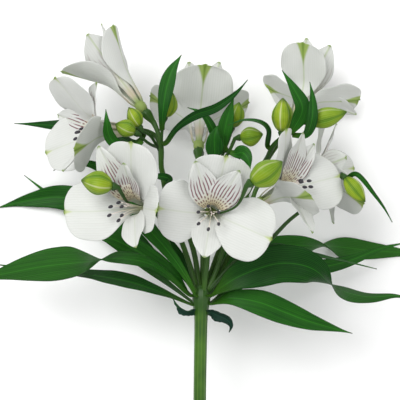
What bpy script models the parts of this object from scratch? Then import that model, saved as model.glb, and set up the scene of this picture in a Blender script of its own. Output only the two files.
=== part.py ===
"""A cut stem of white alstroemeria with eight flowers, lying on its back.

Metres, +Z up. The shapes are given round the whorl, where the leaves meet the stem:
+Y runs up the stem and +Z towards the face of the middle flower.
"""

import math

import bpy
import numpy as np

# Place of the whorl: beside the part's origin, and above the surface that the stem lies on
WHORL_AT = (-0.0020, 0.0934, 0.0520)
SURFACE = -WHORL_AT[2]

# Blades
LEAF_THICKNESS = 0.0007
LEAF_FOOT_WIDTH = 0.0028
TEPAL_THICKNESS = 0.0006
LEAF_ROWS = 12
BRACT_ROWS = 7
OUTER_ROWS = 6
INNER_ROWS = 5

# Flower parts
TEPAL_ROOT_RADIUS = 0.0014
TEPAL_ROOT_HEIGHT = 0.0010
OUTER_WHORL_STEP = 0.0011
INNER_WHORL_LIFT = 0.0012
FUNNEL_LEAN = math.radians(10)
FUNNEL_END = 0.30
BLADE_START = 0.60
OUTER_WIDEST = 0.65
LOBE_LENGTH = 0.05
RECEPTACLE = ((0.0003, 0.0022), (0.0026, 0.0029), (0.0052, 0.0024))
STAMEN_FOOT = ((0.0056, 0.0012), (0.0070, 0.0012))
STAMEN_COUNT = 6
FILAMENT_RADIUS = 0.00045
ANTHER_RADIUS = 0.0009
ANTHER_LENGTH = 0.0026

# Ovary below each flower: height along the pedicel's end and radius
OVARY_LENGTH = 0.0080
OVARY_RADIUS = 0.0028
BUD_OVARY_LENGTH = 0.0035
BUD_OVARY_SHARE = 0.36
BUD_GAP = 0.0004

# Main stem from its cut end to the swelling: x, y, z, radius
STEM = (
    (-0.0020, -0.3300, -0.0492, 0.0033),
    (-0.0020, -0.2900, -0.0425, 0.0033),
    (-0.0015, -0.2300, -0.0305, 0.0033),
    (-0.0010, -0.1600, -0.0165, 0.0033),
    (-0.0008, -0.1000, -0.0070, 0.0033),
    (-0.0006, -0.0500, -0.0015, 0.0033),
    (0.0000, -0.0120, 0.0000, 0.0034),
    (0.0000, -0.0060, 0.0000, 0.0040),
    (0.0002, -0.0010, 0.0000, 0.0048),
    (0.0004, 0.0035, 0.0000, 0.0046),
    (0.0005, 0.0065, 0.0000, 0.0030),
)

# Rays from the whorl, each to the green foot of a flower: x, y, z, radius
RAYS = {
    "middle": (
        (0.0012, 0.0020, 0.0020, 0.0016), (0.0030, 0.0180, 0.0040, 0.0014),
        (0.0042, 0.0320, 0.0030, 0.0013),
    ),
    "left": (
        (-0.0020, 0.0020, 0.0015, 0.0016), (-0.0105, 0.0150, 0.0030, 0.0014),
        (-0.0175, 0.0290, 0.0030, 0.0013), (-0.0190, 0.0380, 0.0040, 0.0012),
    ),
    "far_left": (
        (-0.0015, 0.0025, -0.0010, 0.0016), (-0.0075, 0.0220, -0.0035, 0.0014),
        (-0.0165, 0.0470, -0.0045, 0.0013), (-0.0205, 0.0660, -0.0060, 0.0013),
        (-0.0215, 0.0790, -0.0090, 0.0012), (-0.0235, 0.0850, -0.0105, 0.0012),
    ),
    "upper_left": (
        (-0.0005, 0.0025, -0.0020, 0.0016), (-0.0040, 0.0250, -0.0080, 0.0014),
        (-0.0130, 0.0500, -0.0080, 0.0014), (-0.0205, 0.0660, -0.0040, 0.0014),
        (-0.0205, 0.0780, -0.0020, 0.0014), (-0.0230, 0.0880, -0.0020, 0.0012),
    ),
    "back": (
        (0.0008, 0.0025, -0.0025, 0.0016), (0.0010, 0.0250, -0.0120, 0.0014),
        (0.0000, 0.0480, -0.0135, 0.0013), (-0.0014, 0.0620, -0.0090, 0.0012),
    ),
    "upper_right": (
        (0.0018, 0.0025, -0.0018, 0.0016), (0.0110, 0.0280, -0.0090, 0.0014),
        (0.0250, 0.0560, -0.0120, 0.0014), (0.0350, 0.0730, -0.0110, 0.0016),
        (0.0400, 0.0800, -0.0100, 0.0013),
    ),
    "right": (
        (0.0025, 0.0025, 0.0005, 0.0016), (0.0080, 0.0140, 0.0010, 0.0014),
        (0.0120, 0.0270, 0.0015, 0.0013), (0.0165, 0.0385, 0.0020, 0.0012),
    ),
    "far_right": (
        (0.0025, 0.0020, -0.0008, 0.0016), (0.0150, 0.0230, -0.0050, 0.0014),
        (0.0250, 0.0450, -0.0100, 0.0013), (0.0290, 0.0570, -0.0125, 0.0012),
    ),
}

# Stalks of the buds, from inside the ray that each grows from to short of its ovary
BUD_STALKS = {
    "bud_left_front": (
        (-0.0188, 0.0350, 0.0038, 0.0008), (-0.0258, 0.0473, 0.0099, 0.0006),
        (-0.0360, 0.0485, 0.0283, 0.0006),
    ),
    "bud_right_front": (
        (0.0043, 0.0330, 0.0033, 0.0008), (0.0089, 0.0465, 0.0148, 0.0006),
        (0.0084, 0.0441, 0.0295, 0.0006), (0.0180, 0.0478, 0.0415, 0.0006),
    ),
    "bud_top_left": (
        (-0.0205, 0.0780, -0.0010, 0.0008), (-0.0203, 0.0860, 0.0010, 0.0008),
    ),
    "bud_left_cluster_a": (
        (-0.0214, 0.0780, -0.0088, 0.0008), (-0.0265, 0.0800, 0.0010, 0.0008),
        (-0.0310, 0.0835, 0.0085, 0.0008),
    ),
    "bud_left_cluster_b": (
        (-0.0213, 0.0760, -0.0082, 0.0008), (-0.0260, 0.0840, 0.0000, 0.0008),
    ),
    "bud_middle_striped": (
        (0.0000, 0.0480, -0.0135, 0.0009), (0.0070, 0.0640, -0.0080, 0.0009),
        (0.0145, 0.0760, 0.0000, 0.0009),
    ),
    "bud_middle_upper": (
        (0.0062, 0.0620, -0.0090, 0.0008), (0.0135, 0.0800, -0.0090, 0.0008),
    ),
    "bud_right_round": (
        (0.0340, 0.0715, -0.0112, 0.0012), (0.0375, 0.0790, -0.0040, 0.0013),
    ),
    "bud_right_striped": (
        (0.0385, 0.0800, -0.0098, 0.0009), (0.0455, 0.0850, -0.0050, 0.0009),
    ),
    "bud_far_right": (
        (0.0025, 0.0025, 0.0005, 0.0014), (0.0100, 0.0110, 0.0015, 0.0013),
        (0.0185, 0.0200, 0.0030, 0.0012), (0.0290, 0.0250, 0.0040, 0.0012),
        (0.0370, 0.0310, 0.0030, 0.0011), (0.0450, 0.0400, 0.0010, 0.0010),
        (0.0560, 0.0480, 0.0000, 0.0009), (0.0660, 0.0560, -0.0005, 0.0008),
        (0.0728, 0.0605, 0.0010, 0.0008),
    ),
}

# Buds: foot, tip and greatest radius
BUDS = {
    "bud_left_front": ((-0.0450, 0.0580, 0.0430), (-0.0600, 0.0608, 0.0450), 0.0060),
    "bud_right_front": ((0.0255, 0.0600, 0.0510), (0.0405, 0.0702, 0.0510), 0.0066),
    "bud_top_left": ((-0.0185, 0.0945, 0.0020), (-0.0150, 0.1070, 0.0040), 0.0046),
    "bud_left_cluster_a": ((-0.0345, 0.0860, 0.0115), (-0.0440, 0.0900, 0.0140), 0.0045),
    "bud_left_cluster_b": ((-0.0320, 0.0895, 0.0040), (-0.0375, 0.0990, 0.0030), 0.0040),
    "bud_middle_striped": ((0.0210, 0.0835, 0.0030), (0.0320, 0.0850, 0.0060), 0.0050),
    "bud_middle_upper": ((0.0165, 0.0895, -0.0070), (0.0200, 0.1020, -0.0050), 0.0045),
    "bud_right_round": ((0.0420, 0.0870, 0.0000), (0.0425, 0.1040, 0.0010), 0.0056),
    "bud_right_striped": ((0.0560, 0.0920, 0.0000), (0.0755, 0.0967, 0.0040), 0.0052),
    "bud_far_right": ((0.0750, 0.0620, 0.0080), (0.0845, 0.0500, 0.0120), 0.0042),
}

# Leaves of the whorl: places with the blade's roll from facing +Z, full width, widest place
WHORL_LEAVES = {
    "leaf_left_twisted": (
        ((-0.0046, 0.0005, 0.0038, 80), (-0.0090, 0.0040, 0.0080, 65), (-0.0150, 0.0100, 0.0105, 55),
         (-0.0265, 0.0180, 0.0120, 50), (-0.0400, 0.0205, 0.0110, 62), (-0.0515, 0.0200, 0.0080, 92),
         (-0.0650, 0.0185, 0.0040, 145), (-0.0815, 0.0165, -0.0020, 172), (-0.1000, 0.0130, -0.0080, 165),
         (-0.1190, 0.0090, -0.0120, 160)),
        0.0180, 0.62),
    "leaf_left_low": (
        ((-0.0053, -0.0034, 0.0005, 80), (-0.0200, 0.0025, -0.0010, 50), (-0.0370, 0.0080, -0.0050, 45),
         (-0.0550, 0.0110, -0.0110, 60), (-0.0720, 0.0125, -0.0165, 70), (-0.0920, 0.0145, -0.0215, 70),
         (-0.1140, 0.0175, -0.0250, 60)),
        0.0105, 0.38),
    "leaf_left_behind": (
        ((-0.0056, 0.0008, 0.0010, 80), (-0.0140, 0.0110, 0.0010, 20), (-0.0260, 0.0200, 0.0000, -5),
         (-0.0380, 0.0270, -0.0020, 0), (-0.0490, 0.0315, -0.0050, 10), (-0.0600, 0.0325, -0.0080, 20)),
        0.0120, 0.55),
    "leaf_left_broad": (
        ((-0.0049, 0.0005, -0.0030, 80), (-0.0200, 0.0160, -0.0130, 40), (-0.0400, 0.0340, -0.0270, 25),
         (-0.0600, 0.0475, -0.0410, 12), (-0.0760, 0.0525, -0.0480, 5), (-0.0920, 0.0510, -0.0500, 0),
         (-0.1010, 0.0492, -0.0520, 0), (-0.1110, 0.0465, -0.0520, 0)),
        0.0145, 0.66),
    "leaf_left_thin": (
        ((-0.0033, -0.0034, -0.0042, 80), (-0.0220, 0.0100, -0.0220, 40), (-0.0460, 0.0280, -0.0400, 20),
         (-0.0700, 0.0445, -0.0520, 0), (-0.0850, 0.0560, -0.0520, 0), (-0.0960, 0.0645, -0.0520, 0)),
        0.0065, 0.50),
    "leaf_left_rising": (
        ((-0.0026, 0.0005, 0.0052, 80), (-0.0055, 0.0070, 0.0075, 40), (-0.0115, 0.0170, 0.0075, 10),
         (-0.0195, 0.0275, 0.0065, 0), (-0.0285, 0.0375, 0.0000, 0), (-0.0400, 0.0540, -0.0110, 10),
         (-0.0520, 0.0670, -0.0165, 15), (-0.0620, 0.0705, -0.0185, 20), (-0.0710, 0.0695, -0.0190, 50),
         (-0.0780, 0.0665, -0.0195, 80)),
        0.0090, 0.50),
    "leaf_back_short": (
        ((-0.0030, 0.0005, -0.0049, 80), (-0.0080, 0.0120, -0.0130, 20), (-0.0160, 0.0270, -0.0180, 0),
         (-0.0225, 0.0370, -0.0210, 0)),
        0.0080, 0.50),
    "leaf_right_back": (
        ((0.0020, -0.0034, -0.0050, -80), (0.0080, 0.0070, -0.0170, -10), (0.0160, 0.0240, -0.0300, 0),
         (0.0210, 0.0400, -0.0420, 0), (0.0240, 0.0550, -0.0505, 0), (0.0260, 0.0680, -0.0520, 0)),
        0.0130, 0.45),
    "leaf_right_low": (
        ((0.0053, -0.0034, 0.0005, -80), (0.0160, 0.0000, 0.0030, -15), (0.0300, -0.0020, 0.0040, 0),
         (0.0430, -0.0070, 0.0030, 5), (0.0560, -0.0120, 0.0010, 8), (0.0680, -0.0155, -0.0020, 20),
         (0.0790, -0.0187, -0.0050, 40)),
        0.0135, 0.42),
    "leaf_right_big": (
        ((0.0046, 0.0005, 0.0038, -80), (0.0100, 0.0050, 0.0075, -40), (0.0200, 0.0118, 0.0110, -5),
         (0.0375, 0.0180, 0.0125, 5), (0.0510, 0.0178, 0.0110, 10), (0.0605, 0.0140, 0.0090, 35),
         (0.0665, 0.0080, 0.0070, 80), (0.0750, 0.0030, 0.0040, 125), (0.0880, 0.0003, 0.0000, 140),
         (0.1010, 0.0012, -0.0030, 150), (0.1100, -0.0010, -0.0050, 150)),
        0.0200, 0.32),
    "leaf_right_upper": (
        ((0.0048, 0.0005, -0.0031, -80), (0.0120, 0.0090, -0.0110, -20), (0.0220, 0.0180, -0.0170, -5),
         (0.0360, 0.0265, -0.0230, 0), (0.0500, 0.0270, -0.0300, 15), (0.0640, 0.0262, -0.0390, 75),
         (0.0780, 0.0252, -0.0470, 160), (0.0920, 0.0235, -0.0520, 180), (0.1080, 0.0225, -0.0520, 180),
         (0.1230, 0.0205, -0.0520, 180)),
        0.0130, 0.62),
    "leaf_right_under": (
        ((0.0044, -0.0034, -0.0032, -80), (0.0160, 0.0040, -0.0120, -20), (0.0380, 0.0130, -0.0240, -10),
         (0.0620, 0.0150, -0.0300, 10), (0.0790, 0.0185, -0.0335, 20), (0.0960, 0.0250, -0.0360, 30),
         (0.1120, 0.0285, -0.0370, 30)),
        0.0090, 0.50),
    "leaf_right_thin": (
        ((0.0056, 0.0008, 0.0000, -80), (0.0140, 0.0110, -0.0040, -55), (0.0240, 0.0200, -0.0060, -50),
         (0.0370, 0.0260, -0.0085, -55), (0.0520, 0.0235, -0.0120, -60), (0.0760, 0.0185, -0.0170, -65),
         (0.0930, 0.0145, -0.0200, -60)),
        0.0070, 0.35),
}

# Small leaves near the flowers, written like the leaves of the whorl
BRACTS = {
    "bract_top_left": (
        ((-0.0202, 0.0920, 0.0070, 20), (-0.0195, 0.0985, 0.0105, 10), (-0.0180, 0.1080, 0.0115, 0),
         (-0.0150, 0.1175, 0.0120, -10), (-0.0100, 0.1258, 0.0120, -20)),
        0.0078, 0.60),
    "bract_arching": (
        ((-0.0184, 0.0800, 0.0010, 30), (-0.0130, 0.0880, 0.0070, 45), (-0.0031, 0.0950, 0.0100, 40),
         (0.0073, 0.0985, 0.0090, 35), (0.0175, 0.1058, 0.0070, 30), (0.0242, 0.1132, 0.0050, 60)),
        0.0058, 0.50),
    "bract_middle_curled": (
        ((0.0085, 0.0780, -0.0070, 0), (0.0062, 0.0870, 0.0000, 20), (0.0010, 0.0955, 0.0030, 20),
         (-0.0070, 0.0990, 0.0020, 50)),
        0.0050, 0.45),
    "bract_middle_front": (
        ((0.0075, 0.0730, 0.0000, 10), (0.0070, 0.0790, 0.0040, 0), (0.0070, 0.0840, 0.0060, 0),
         (0.0085, 0.0895, 0.0065, 0)),
        0.0095, 0.50),
    "bract_middle_dark": (
        ((0.0120, 0.0790, -0.0030, 0), (0.0120, 0.0860, 0.0010, 10), (0.0140, 0.0950, 0.0030, 10),
         (0.0170, 0.1040, 0.0040, 10)),
        0.0080, 0.50),
    "bract_middle_low": (
        ((0.0178, 0.0750, 0.0020, 0), (0.0215, 0.0755, 0.0060, 0), (0.0240, 0.0725, 0.0080, 0),
         (0.0255, 0.0670, 0.0080, 0)),
        0.0075, 0.45),
    "bract_arc_right": (
        ((0.0345, 0.0790, -0.0060, 30), (0.0345, 0.0870, 0.0050, 50), (0.0300, 0.0910, 0.0125, 55),
         (0.0220, 0.0920, 0.0140, 60), (0.0140, 0.0895, 0.0125, 60)),
        0.0045, 0.40),
    "bract_right_tall": (
        ((0.0480, 0.0880, 0.0010, 0), (0.0525, 0.0980, 0.0070, 10), (0.0480, 0.1080, 0.0090, 15),
         (0.0418, 0.1180, 0.0090, 20)),
        0.0085, 0.40),
    "bract_right_narrow": (
        ((0.0545, 0.0850, 0.0010, 30), (0.0572, 0.0930, 0.0090, 20), (0.0575, 0.1030, 0.0095, 20),
         (0.0562, 0.1120, 0.0080, 30)),
        0.0062, 0.45),
    "bract_far_left": (
        ((-0.0345, 0.0800, -0.0060, 20), (-0.0540, 0.0890, -0.0230, 20), (-0.0780, 0.0905, -0.0270, 20),
         (-0.0990, 0.0915, -0.0230, 40)),
        0.0090, 0.45),
    "bract_left_dark": (
        ((-0.0330, 0.0790, 0.0060, 20), (-0.0425, 0.0790, 0.0090, 15), (-0.0472, 0.0840, 0.0130, 0),
         (-0.0482, 0.0905, 0.0170, 0), (-0.0488, 0.0975, 0.0170, 0)),
        0.0060, 0.55),
    "bract_left_front": (
        ((-0.0215, 0.0430, 0.0020, 10), (-0.0270, 0.0530, 0.0040, 0), (-0.0325, 0.0610, 0.0060, 0),
         (-0.0385, 0.0685, 0.0070, 0)),
        0.0080, 0.55),
    "bract_middle_small": (
        ((-0.0180, 0.0600, -0.0020, 0), (-0.0165, 0.0618, 0.0030, 0), (-0.0195, 0.0630, 0.0050, 0),
         (-0.0265, 0.0635, 0.0050, 0)),
        0.0040, 0.60),
    "bract_far_right": (
        ((0.0795, 0.0648, 0.0120, 40), (0.0840, 0.0610, 0.0140, 50), (0.0885, 0.0550, 0.0145, 55),
         (0.0940, 0.0475, 0.0130, 55), (0.0985, 0.0395, 0.0110, 60)),
        0.0034, 0.40),
}

# Two withered leaflets below the whorl
WITHERED = {
    "withered_left": (
        ((-0.0044, -0.0068, 0.0022, -20), (-0.0080, -0.0065, 0.0060, -50), (-0.0120, -0.0035, 0.0075, -80),
         (-0.0145, 0.0000, 0.0070, -110)),
        0.0050, 0.55),
    "withered_right": (
        ((0.0044, -0.0070, 0.0022, 30), (0.0085, -0.0085, 0.0060, 30), (0.0130, -0.0105, 0.0070, 10),
         (0.0155, -0.0140, 0.0065, -20), (0.0146, -0.0175, 0.0050, -30)),
        0.0055, 0.45),
}

# Flowers: foot, axis out of the throat, the way that 90 degrees round it points, flatness of the blades
FLOWERS = {
    "middle": ((0.0048, 0.0454, 0.0120), (0.03, -0.05, 1.00), (0, 1, 0), 1.0),
    "left": ((-0.0248, 0.0458, 0.0140), (-0.49, 0.10, 0.87), (0, 1, 0), 1.0),
    "far_left": ((-0.0356, 0.0868, -0.0060), (-0.90, 0.01, 0.43), (0, 1, 0), 1.0),
    "upper_left": ((-0.0298, 0.0978, -0.0040), (-0.62, 0.78, -0.07), (0, 0, 1), 0.35),
    "back": ((-0.0012, 0.0777, -0.0120), (0.01, 0.73, -0.69), (0, 0, 1), 1.0),
    "upper_right": ((0.0479, 0.0920, -0.0170), (0.37, 0.66, -0.66), (0, 1, 0), 1.0),
    "right": ((0.0283, 0.0486, 0.0080), (0.75, 0.41, 0.51), (0, 1, 0), 1.0),
    "far_right": ((0.0418, 0.0646, -0.0140), (0.98, 0.11, -0.18), (0, 1, 0), 1.0),
}

# Tepals: degrees round the axis, length, width, flare, curl of the tip and sideways sway in degrees
OUTER_TEPALS = {
    "middle": ((77, 0.047, 0.033, 60, 10, 0), (180, 0.042, 0.032, 62, 12, -6), (-23, 0.048, 0.033, 68, 8, 0)),
    "left": ((78, 0.049, 0.032, 61, 8, 0), (196, 0.049, 0.031, 64, 8, -8), (-9, 0.045, 0.025, 46, 10, 0)),
    "far_left": ((97, 0.050, 0.037, 44, 8, 0), (206, 0.047, 0.030, 47, 10, 0), (-29, 0.045, 0.031, 42, -14, 0)),
    "upper_left": ((157, 0.045, 0.027, 22, 6, 0), (8, 0.046, 0.034, 36, 0, 0), (270, 0.041, 0.022, 22, 0, 0)),
    "back": ((95, 0.047, 0.033, 68, 10, 0), (185, 0.046, 0.029, 51, 0, 0), (363, 0.046, 0.030, 51, 0, 0)),
    "upper_right": ((101, 0.045, 0.026, 74, 0, 0), (215, 0.045, 0.028, 52, 0, 0), (354, 0.045, 0.026, 62, 0, 0)),
    "right": ((111, 0.046, 0.023, 49, 8, 0), (-1, 0.047, 0.031, 54, 8, 0), (226, 0.040, 0.030, 32, -12, 0)),
    "far_right": ((70, 0.045, 0.024, 73, 8, 0), (-5, 0.046, 0.021, 27, 0, 0), (226, 0.047, 0.028, 52, 0, 0)),
}
INNER_TEPALS = {
    "middle": ((108, 0.046, 0.0155, 62, 10, 0), (59, 0.045, 0.0155, 54, 10, 0), (260, 0.036, 0.0175, 62, 15, 0)),
    "left": ((111, 0.051, 0.0155, 61, 8, 0), (76, 0.043, 0.0140, 39, 10, 0), (298, 0.043, 0.0150, 55, 10, 0)),
    "far_left": ((50, 0.047, 0.0150, 75, 10, 0), (161, 0.043, 0.0150, 61, 8, 0), (284, 0.046, 0.0150, 42, 0, 0)),
    "upper_left": ((95, 0.048, 0.0190, 24, 4, 0), (197, 0.049, 0.0140, 13, 0, 0), (327, 0.042, 0.0150, 26, 0, 0)),
    "back": ((78, 0.048, 0.0160, 60, 0, 0), (112, 0.049, 0.0160, 55, 0, 0), (270, 0.044, 0.0150, 60, 0, 0)),
    "upper_right": ((126, 0.047, 0.0160, 61, 0, 0), (97, 0.047, 0.0140, 57, 0, 0), (234, 0.048, 0.0160, 65, 0, 0)),
    "right": ((82, 0.045, 0.0150, 44, 8, 0), (52, 0.043, 0.0130, 45, 8, 0), (255, 0.046, 0.0150, 75, 0, 0)),
    "far_right": ((63, 0.045, 0.0150, 57, 0, 0), (168, 0.040, 0.0150, 62, 0, 0), (283, 0.045, 0.0150, 80, 0, 0)),
}

# Way that a flower's stamens lean in degrees round its axis, how far they lean and how far they fan out
STAMEN_LEAN = {
    "middle": (225, 0.0022, 0.0048), "left": (225, 0.0040, 0.0036), "far_left": (240, 0.0025, 0.0026),
    "upper_left": (90, 0.0000, 0.0015), "back": (270, 0.0025, 0.0026), "upper_right": (270, 0.0015, 0.0026),
    "right": (320, 0.0030, 0.0024), "far_right": (270, 0.0015, 0.0020),
}

# Colours, linear, with roughness
FINISHES = {
    "tepal_white": ((0.86, 0.88, 0.84), 0.55),
    "stamen_pale": ((0.55, 0.42, 0.42), 0.60),
    "stem_green": ((0.06, 0.20, 0.03), 0.45),
    "leaf_green": ((0.02, 0.11, 0.015), 0.40),
    "bud_green": ((0.22, 0.42, 0.05), 0.50),
    "withered_green": ((0.015, 0.05, 0.035), 0.70),
}


def unit(vectors):
    """Vectors of length one."""
    return vectors / np.linalg.norm(vectors, axis=-1, keepdims=True)


def smooth_step(low, high, value):
    """Rise from 0 to 1 between two values, level at both ends."""
    share = np.clip((value - low) / (high - low), 0.0, 1.0)
    return share * share * (3.0 - 2.0 * share)


def curve_through(places, count):
    """Evenly spaced rows of a smooth curve through the given rows, whose first three numbers are a place."""
    knots = np.array(places, dtype=float)
    knots = np.vstack([2 * knots[0] - knots[1], knots, 2 * knots[-1] - knots[-2]])
    fine = []
    for a, b, c, d in zip(knots, knots[1:], knots[2:], knots[3:]):
        for t in np.linspace(0, 1, 20, endpoint=False):
            bend = (2 * a - 5 * b + 4 * c - d) * t * t + (3 * b - a - 3 * c + d) * t ** 3
            fine.append(0.5 * (2 * b + (c - a) * t + bend))
    fine.append(knots[-2])
    fine = np.array(fine)
    steps = np.linalg.norm(np.diff(fine[:, :3], axis=0), axis=1)
    along = np.concatenate([[0.0], np.cumsum(steps)])
    wanted = np.linspace(0.0, along[-1], count)
    return np.column_stack([np.interp(wanted, along, column) for column in fine.T])


def lay_on_surface(points, clearance=0.0):
    """Press what would sink into the surface flat on it."""
    points[..., 2] = np.maximum(points[..., 2], SURFACE + clearance)
    return points


def new_object(name, points, faces, finish):
    """A named object with its material, hung on the plant."""
    mesh = bpy.data.meshes.new(name)
    mesh.from_pydata([tuple(point) for point in points], [], faces)
    mesh.update()
    mesh.materials.append(bpy.data.materials[finish])
    part = bpy.data.objects.new(name, mesh)
    bpy.context.scene.collection.objects.link(part)
    part.parent = bpy.data.objects["plant"]
    return part


def thicken(grid, thickness):
    """Points and triangles of a blade round its middle surface, split alike on both faces."""
    rows, columns = grid.shape[:2]
    normal = unit(np.cross(np.gradient(grid, axis=0), np.gradient(grid, axis=1)))
    points = np.concatenate([(grid + normal * thickness / 2).reshape(-1, 3),
                             (grid - normal * thickness / 2).reshape(-1, 3)])
    back = rows * columns
    faces = []
    for i in range(rows - 1):
        for j in range(columns - 1):
            a = i * columns + j
            b, c, d = a + 1, a + columns + 1, a + columns
            if j < (columns - 1) / 2:
                halves = ((a, c, b), (a, d, c))
            else:
                halves = ((a, d, b), (b, d, c))
            for p, q, r in halves:
                faces.append((p, q, r))
                faces.append((p + back, r + back, q + back))
    rim = [j for j in range(columns)]
    rim += [i * columns + columns - 1 for i in range(1, rows)]
    rim += [(rows - 1) * columns + j for j in range(columns - 2, -1, -1)]
    rim += [i * columns for i in range(rows - 2, 0, -1)]
    for p, q in zip(rim, rim[1:] + rim[:1]):
        faces.append((p, q + back, p + back))
        faces.append((p, q, q + back))
    return points, faces


def loft(course, sides, ribs=0, rib_depth=0.0):
    """Points and faces of a round body along rows of x, y, z, radius, closed at both ends."""
    course = np.array(course, dtype=float)
    spine, radius = course[:, :3], course[:, 3]
    along = unit(np.gradient(spine, axis=0))
    across = unit(np.cross(along[0], (0.31, 0.17, 0.94)))
    turns = 2 * math.pi * np.arange(sides) / sides
    swell = 1.0 + rib_depth * np.cos(ribs * turns)
    points = []
    for place, way, size in zip(spine, along, radius):
        across = unit(across - way * np.dot(across, way))
        third = np.cross(way, across)
        for turn, share in zip(turns, swell):
            points.append(place + size * share * (math.cos(turn) * across + math.sin(turn) * third))
    faces = []
    for i in range(len(course) - 1):
        for j in range(sides):
            a, b = i * sides + j, i * sides + (j + 1) % sides
            faces.append((a, b, b + sides, a + sides))
    faces.append(tuple(range(sides - 1, -1, -1)))
    last = (len(course) - 1) * sides
    faces.append(tuple(range(last, last + sides)))
    return np.array(points), faces


def join(base, others, solver="EXACT"):
    """Unite several bodies in the first one."""
    group = bpy.data.collections.new(base.name + "_pieces")
    for piece in others:
        bpy.context.scene.collection.objects.unlink(piece)
        group.objects.link(piece)
    union = base.modifiers.new("union", "BOOLEAN")
    union.operation = "UNION"
    union.operand_type = "COLLECTION"
    union.collection = group
    union.solver = solver
    bpy.context.scene.collection.children.link(group)
    bpy.context.view_layer.update()
    evaluated = base.evaluated_get(bpy.context.evaluated_depsgraph_get())
    joined = bpy.data.meshes.new_from_object(evaluated)
    base.modifiers.clear()
    base.data = joined
    for piece in others:
        bpy.data.objects.remove(piece)
    bpy.data.collections.remove(group)
    return base


def leaf_outline(share, widest, stalk, tip):
    """Width of a lance-shaped leaf along its length, 1 at its widest."""
    rise = np.clip(share / widest, 0.0, 1.0)
    fall = np.clip((1.0 - share) / (1.0 - widest), 0.0, 1.0)
    swell = stalk + (1.0 - stalk) * np.sin(rise * math.pi / 2) ** 2
    taper = tip + (1.0 - tip) * np.sin(fall * math.pi / 2) ** 1.3
    return swell * taper


def leaf_grid(path, width, widest, rows, channel, wave):
    """Middle surface of a leaf: three columns along a smooth path, turned by its roll."""
    course = curve_through(path, rows + 1)
    spine, roll = course[:, :3], np.radians(course[:, 3])[:, None]
    along = unit(np.gradient(spine, axis=0))
    upward = unit(np.array([0.0, 0.0, 1.0]) - along * along[:, 2:3])
    sideways = np.cross(along, upward)
    face = upward * np.cos(roll) + sideways * np.sin(roll)
    across = np.cross(along, face)
    share = np.linspace(0.0, 1.0, rows + 1)[:, None]
    half = width / 2 * leaf_outline(share, widest, LEAF_FOOT_WIDTH / width, 0.0008 / width)
    columns = []
    for side in (-1.0, 0.0, 1.0):
        ripple = wave * np.sin(2 * math.pi * 2.5 * share + 1.3 * side) * abs(side)
        lift = half * (channel * abs(side) + ripple)
        columns.append(spine + across * half * side + face * lift)
    return np.stack(columns, axis=1)


def make_leaf(name, leaf, rows, channel, wave, finish):
    """One leaf from its path, width and widest place."""
    path, width, widest = leaf
    grid = leaf_grid(path, width, widest, rows, channel, wave)
    lay_on_surface(grid, LEAF_THICKNESS / 2)
    points, faces = thicken(grid, LEAF_THICKNESS)
    return new_object(name, lay_on_surface(points), faces, finish)


def flower_frame(name):
    """Foot of a flower, its axis, and the ways at 0 and 90 degrees round it."""
    foot, axis, upright = (np.array(value, dtype=float) for value in FLOWERS[name][:3])
    axis = unit(axis)
    start = unit(np.cross(upright, axis))
    return foot, axis, start, np.cross(axis, start)


def tepal_profile(length, flare, curl, step_out, lift):
    """Distance from the axis, height and lean of a tepal along its length and a little past it."""
    share = np.linspace(0.0, 1.1, 89)
    lean = FUNNEL_LEAN + (math.radians(flare) - FUNNEL_LEAN) * smooth_step(FUNNEL_END, BLADE_START, share)
    lean = lean + math.radians(curl) * np.clip((share - BLADE_START) / (1 - BLADE_START), 0, 1) ** 2
    reach = length * np.concatenate([[0.0], np.cumsum((np.sin(lean[1:]) + np.sin(lean[:-1])) / 160)])
    rise = length * np.concatenate([[0.0], np.cumsum((np.cos(lean[1:]) + np.cos(lean[:-1])) / 160)])
    reach = reach + TEPAL_ROOT_RADIUS + step_out * smooth_step(0.0, 0.15, share)
    return share, reach, rise + TEPAL_ROOT_HEIGHT + lift, lean


def outer_crown(share):
    """Rounding of an outer tepal towards its tip, 1 up to its widest place."""
    past = np.clip((share - OUTER_WIDEST) / (1.0 - OUTER_WIDEST), 0.0, 1.0)
    return (1.0 - 0.97 * past ** 2.4) ** 0.5


def outer_outline(share):
    """Width of a broad outer tepal along its length: a narrow claw and a blunt blade."""
    claw = 0.05 + 0.08 * smooth_step(0.0, 0.25, share)
    blade = smooth_step(0.22, 0.70, share)
    return (claw + (1 - claw) * blade) * outer_crown(share)


def inner_outline(share):
    """Width of a narrow inner tepal along its length: it ends in a point."""
    claw = 0.11 + 0.11 * smooth_step(0.0, 0.25, share)
    blade = smooth_step(0.24, 0.66, share)
    crown = np.cos(np.clip((share - 0.66) / 0.36, 0, 1) * math.pi / 2) ** 0.8
    return (claw + (1 - claw) * blade) * np.maximum(crown, 0.05)


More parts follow.
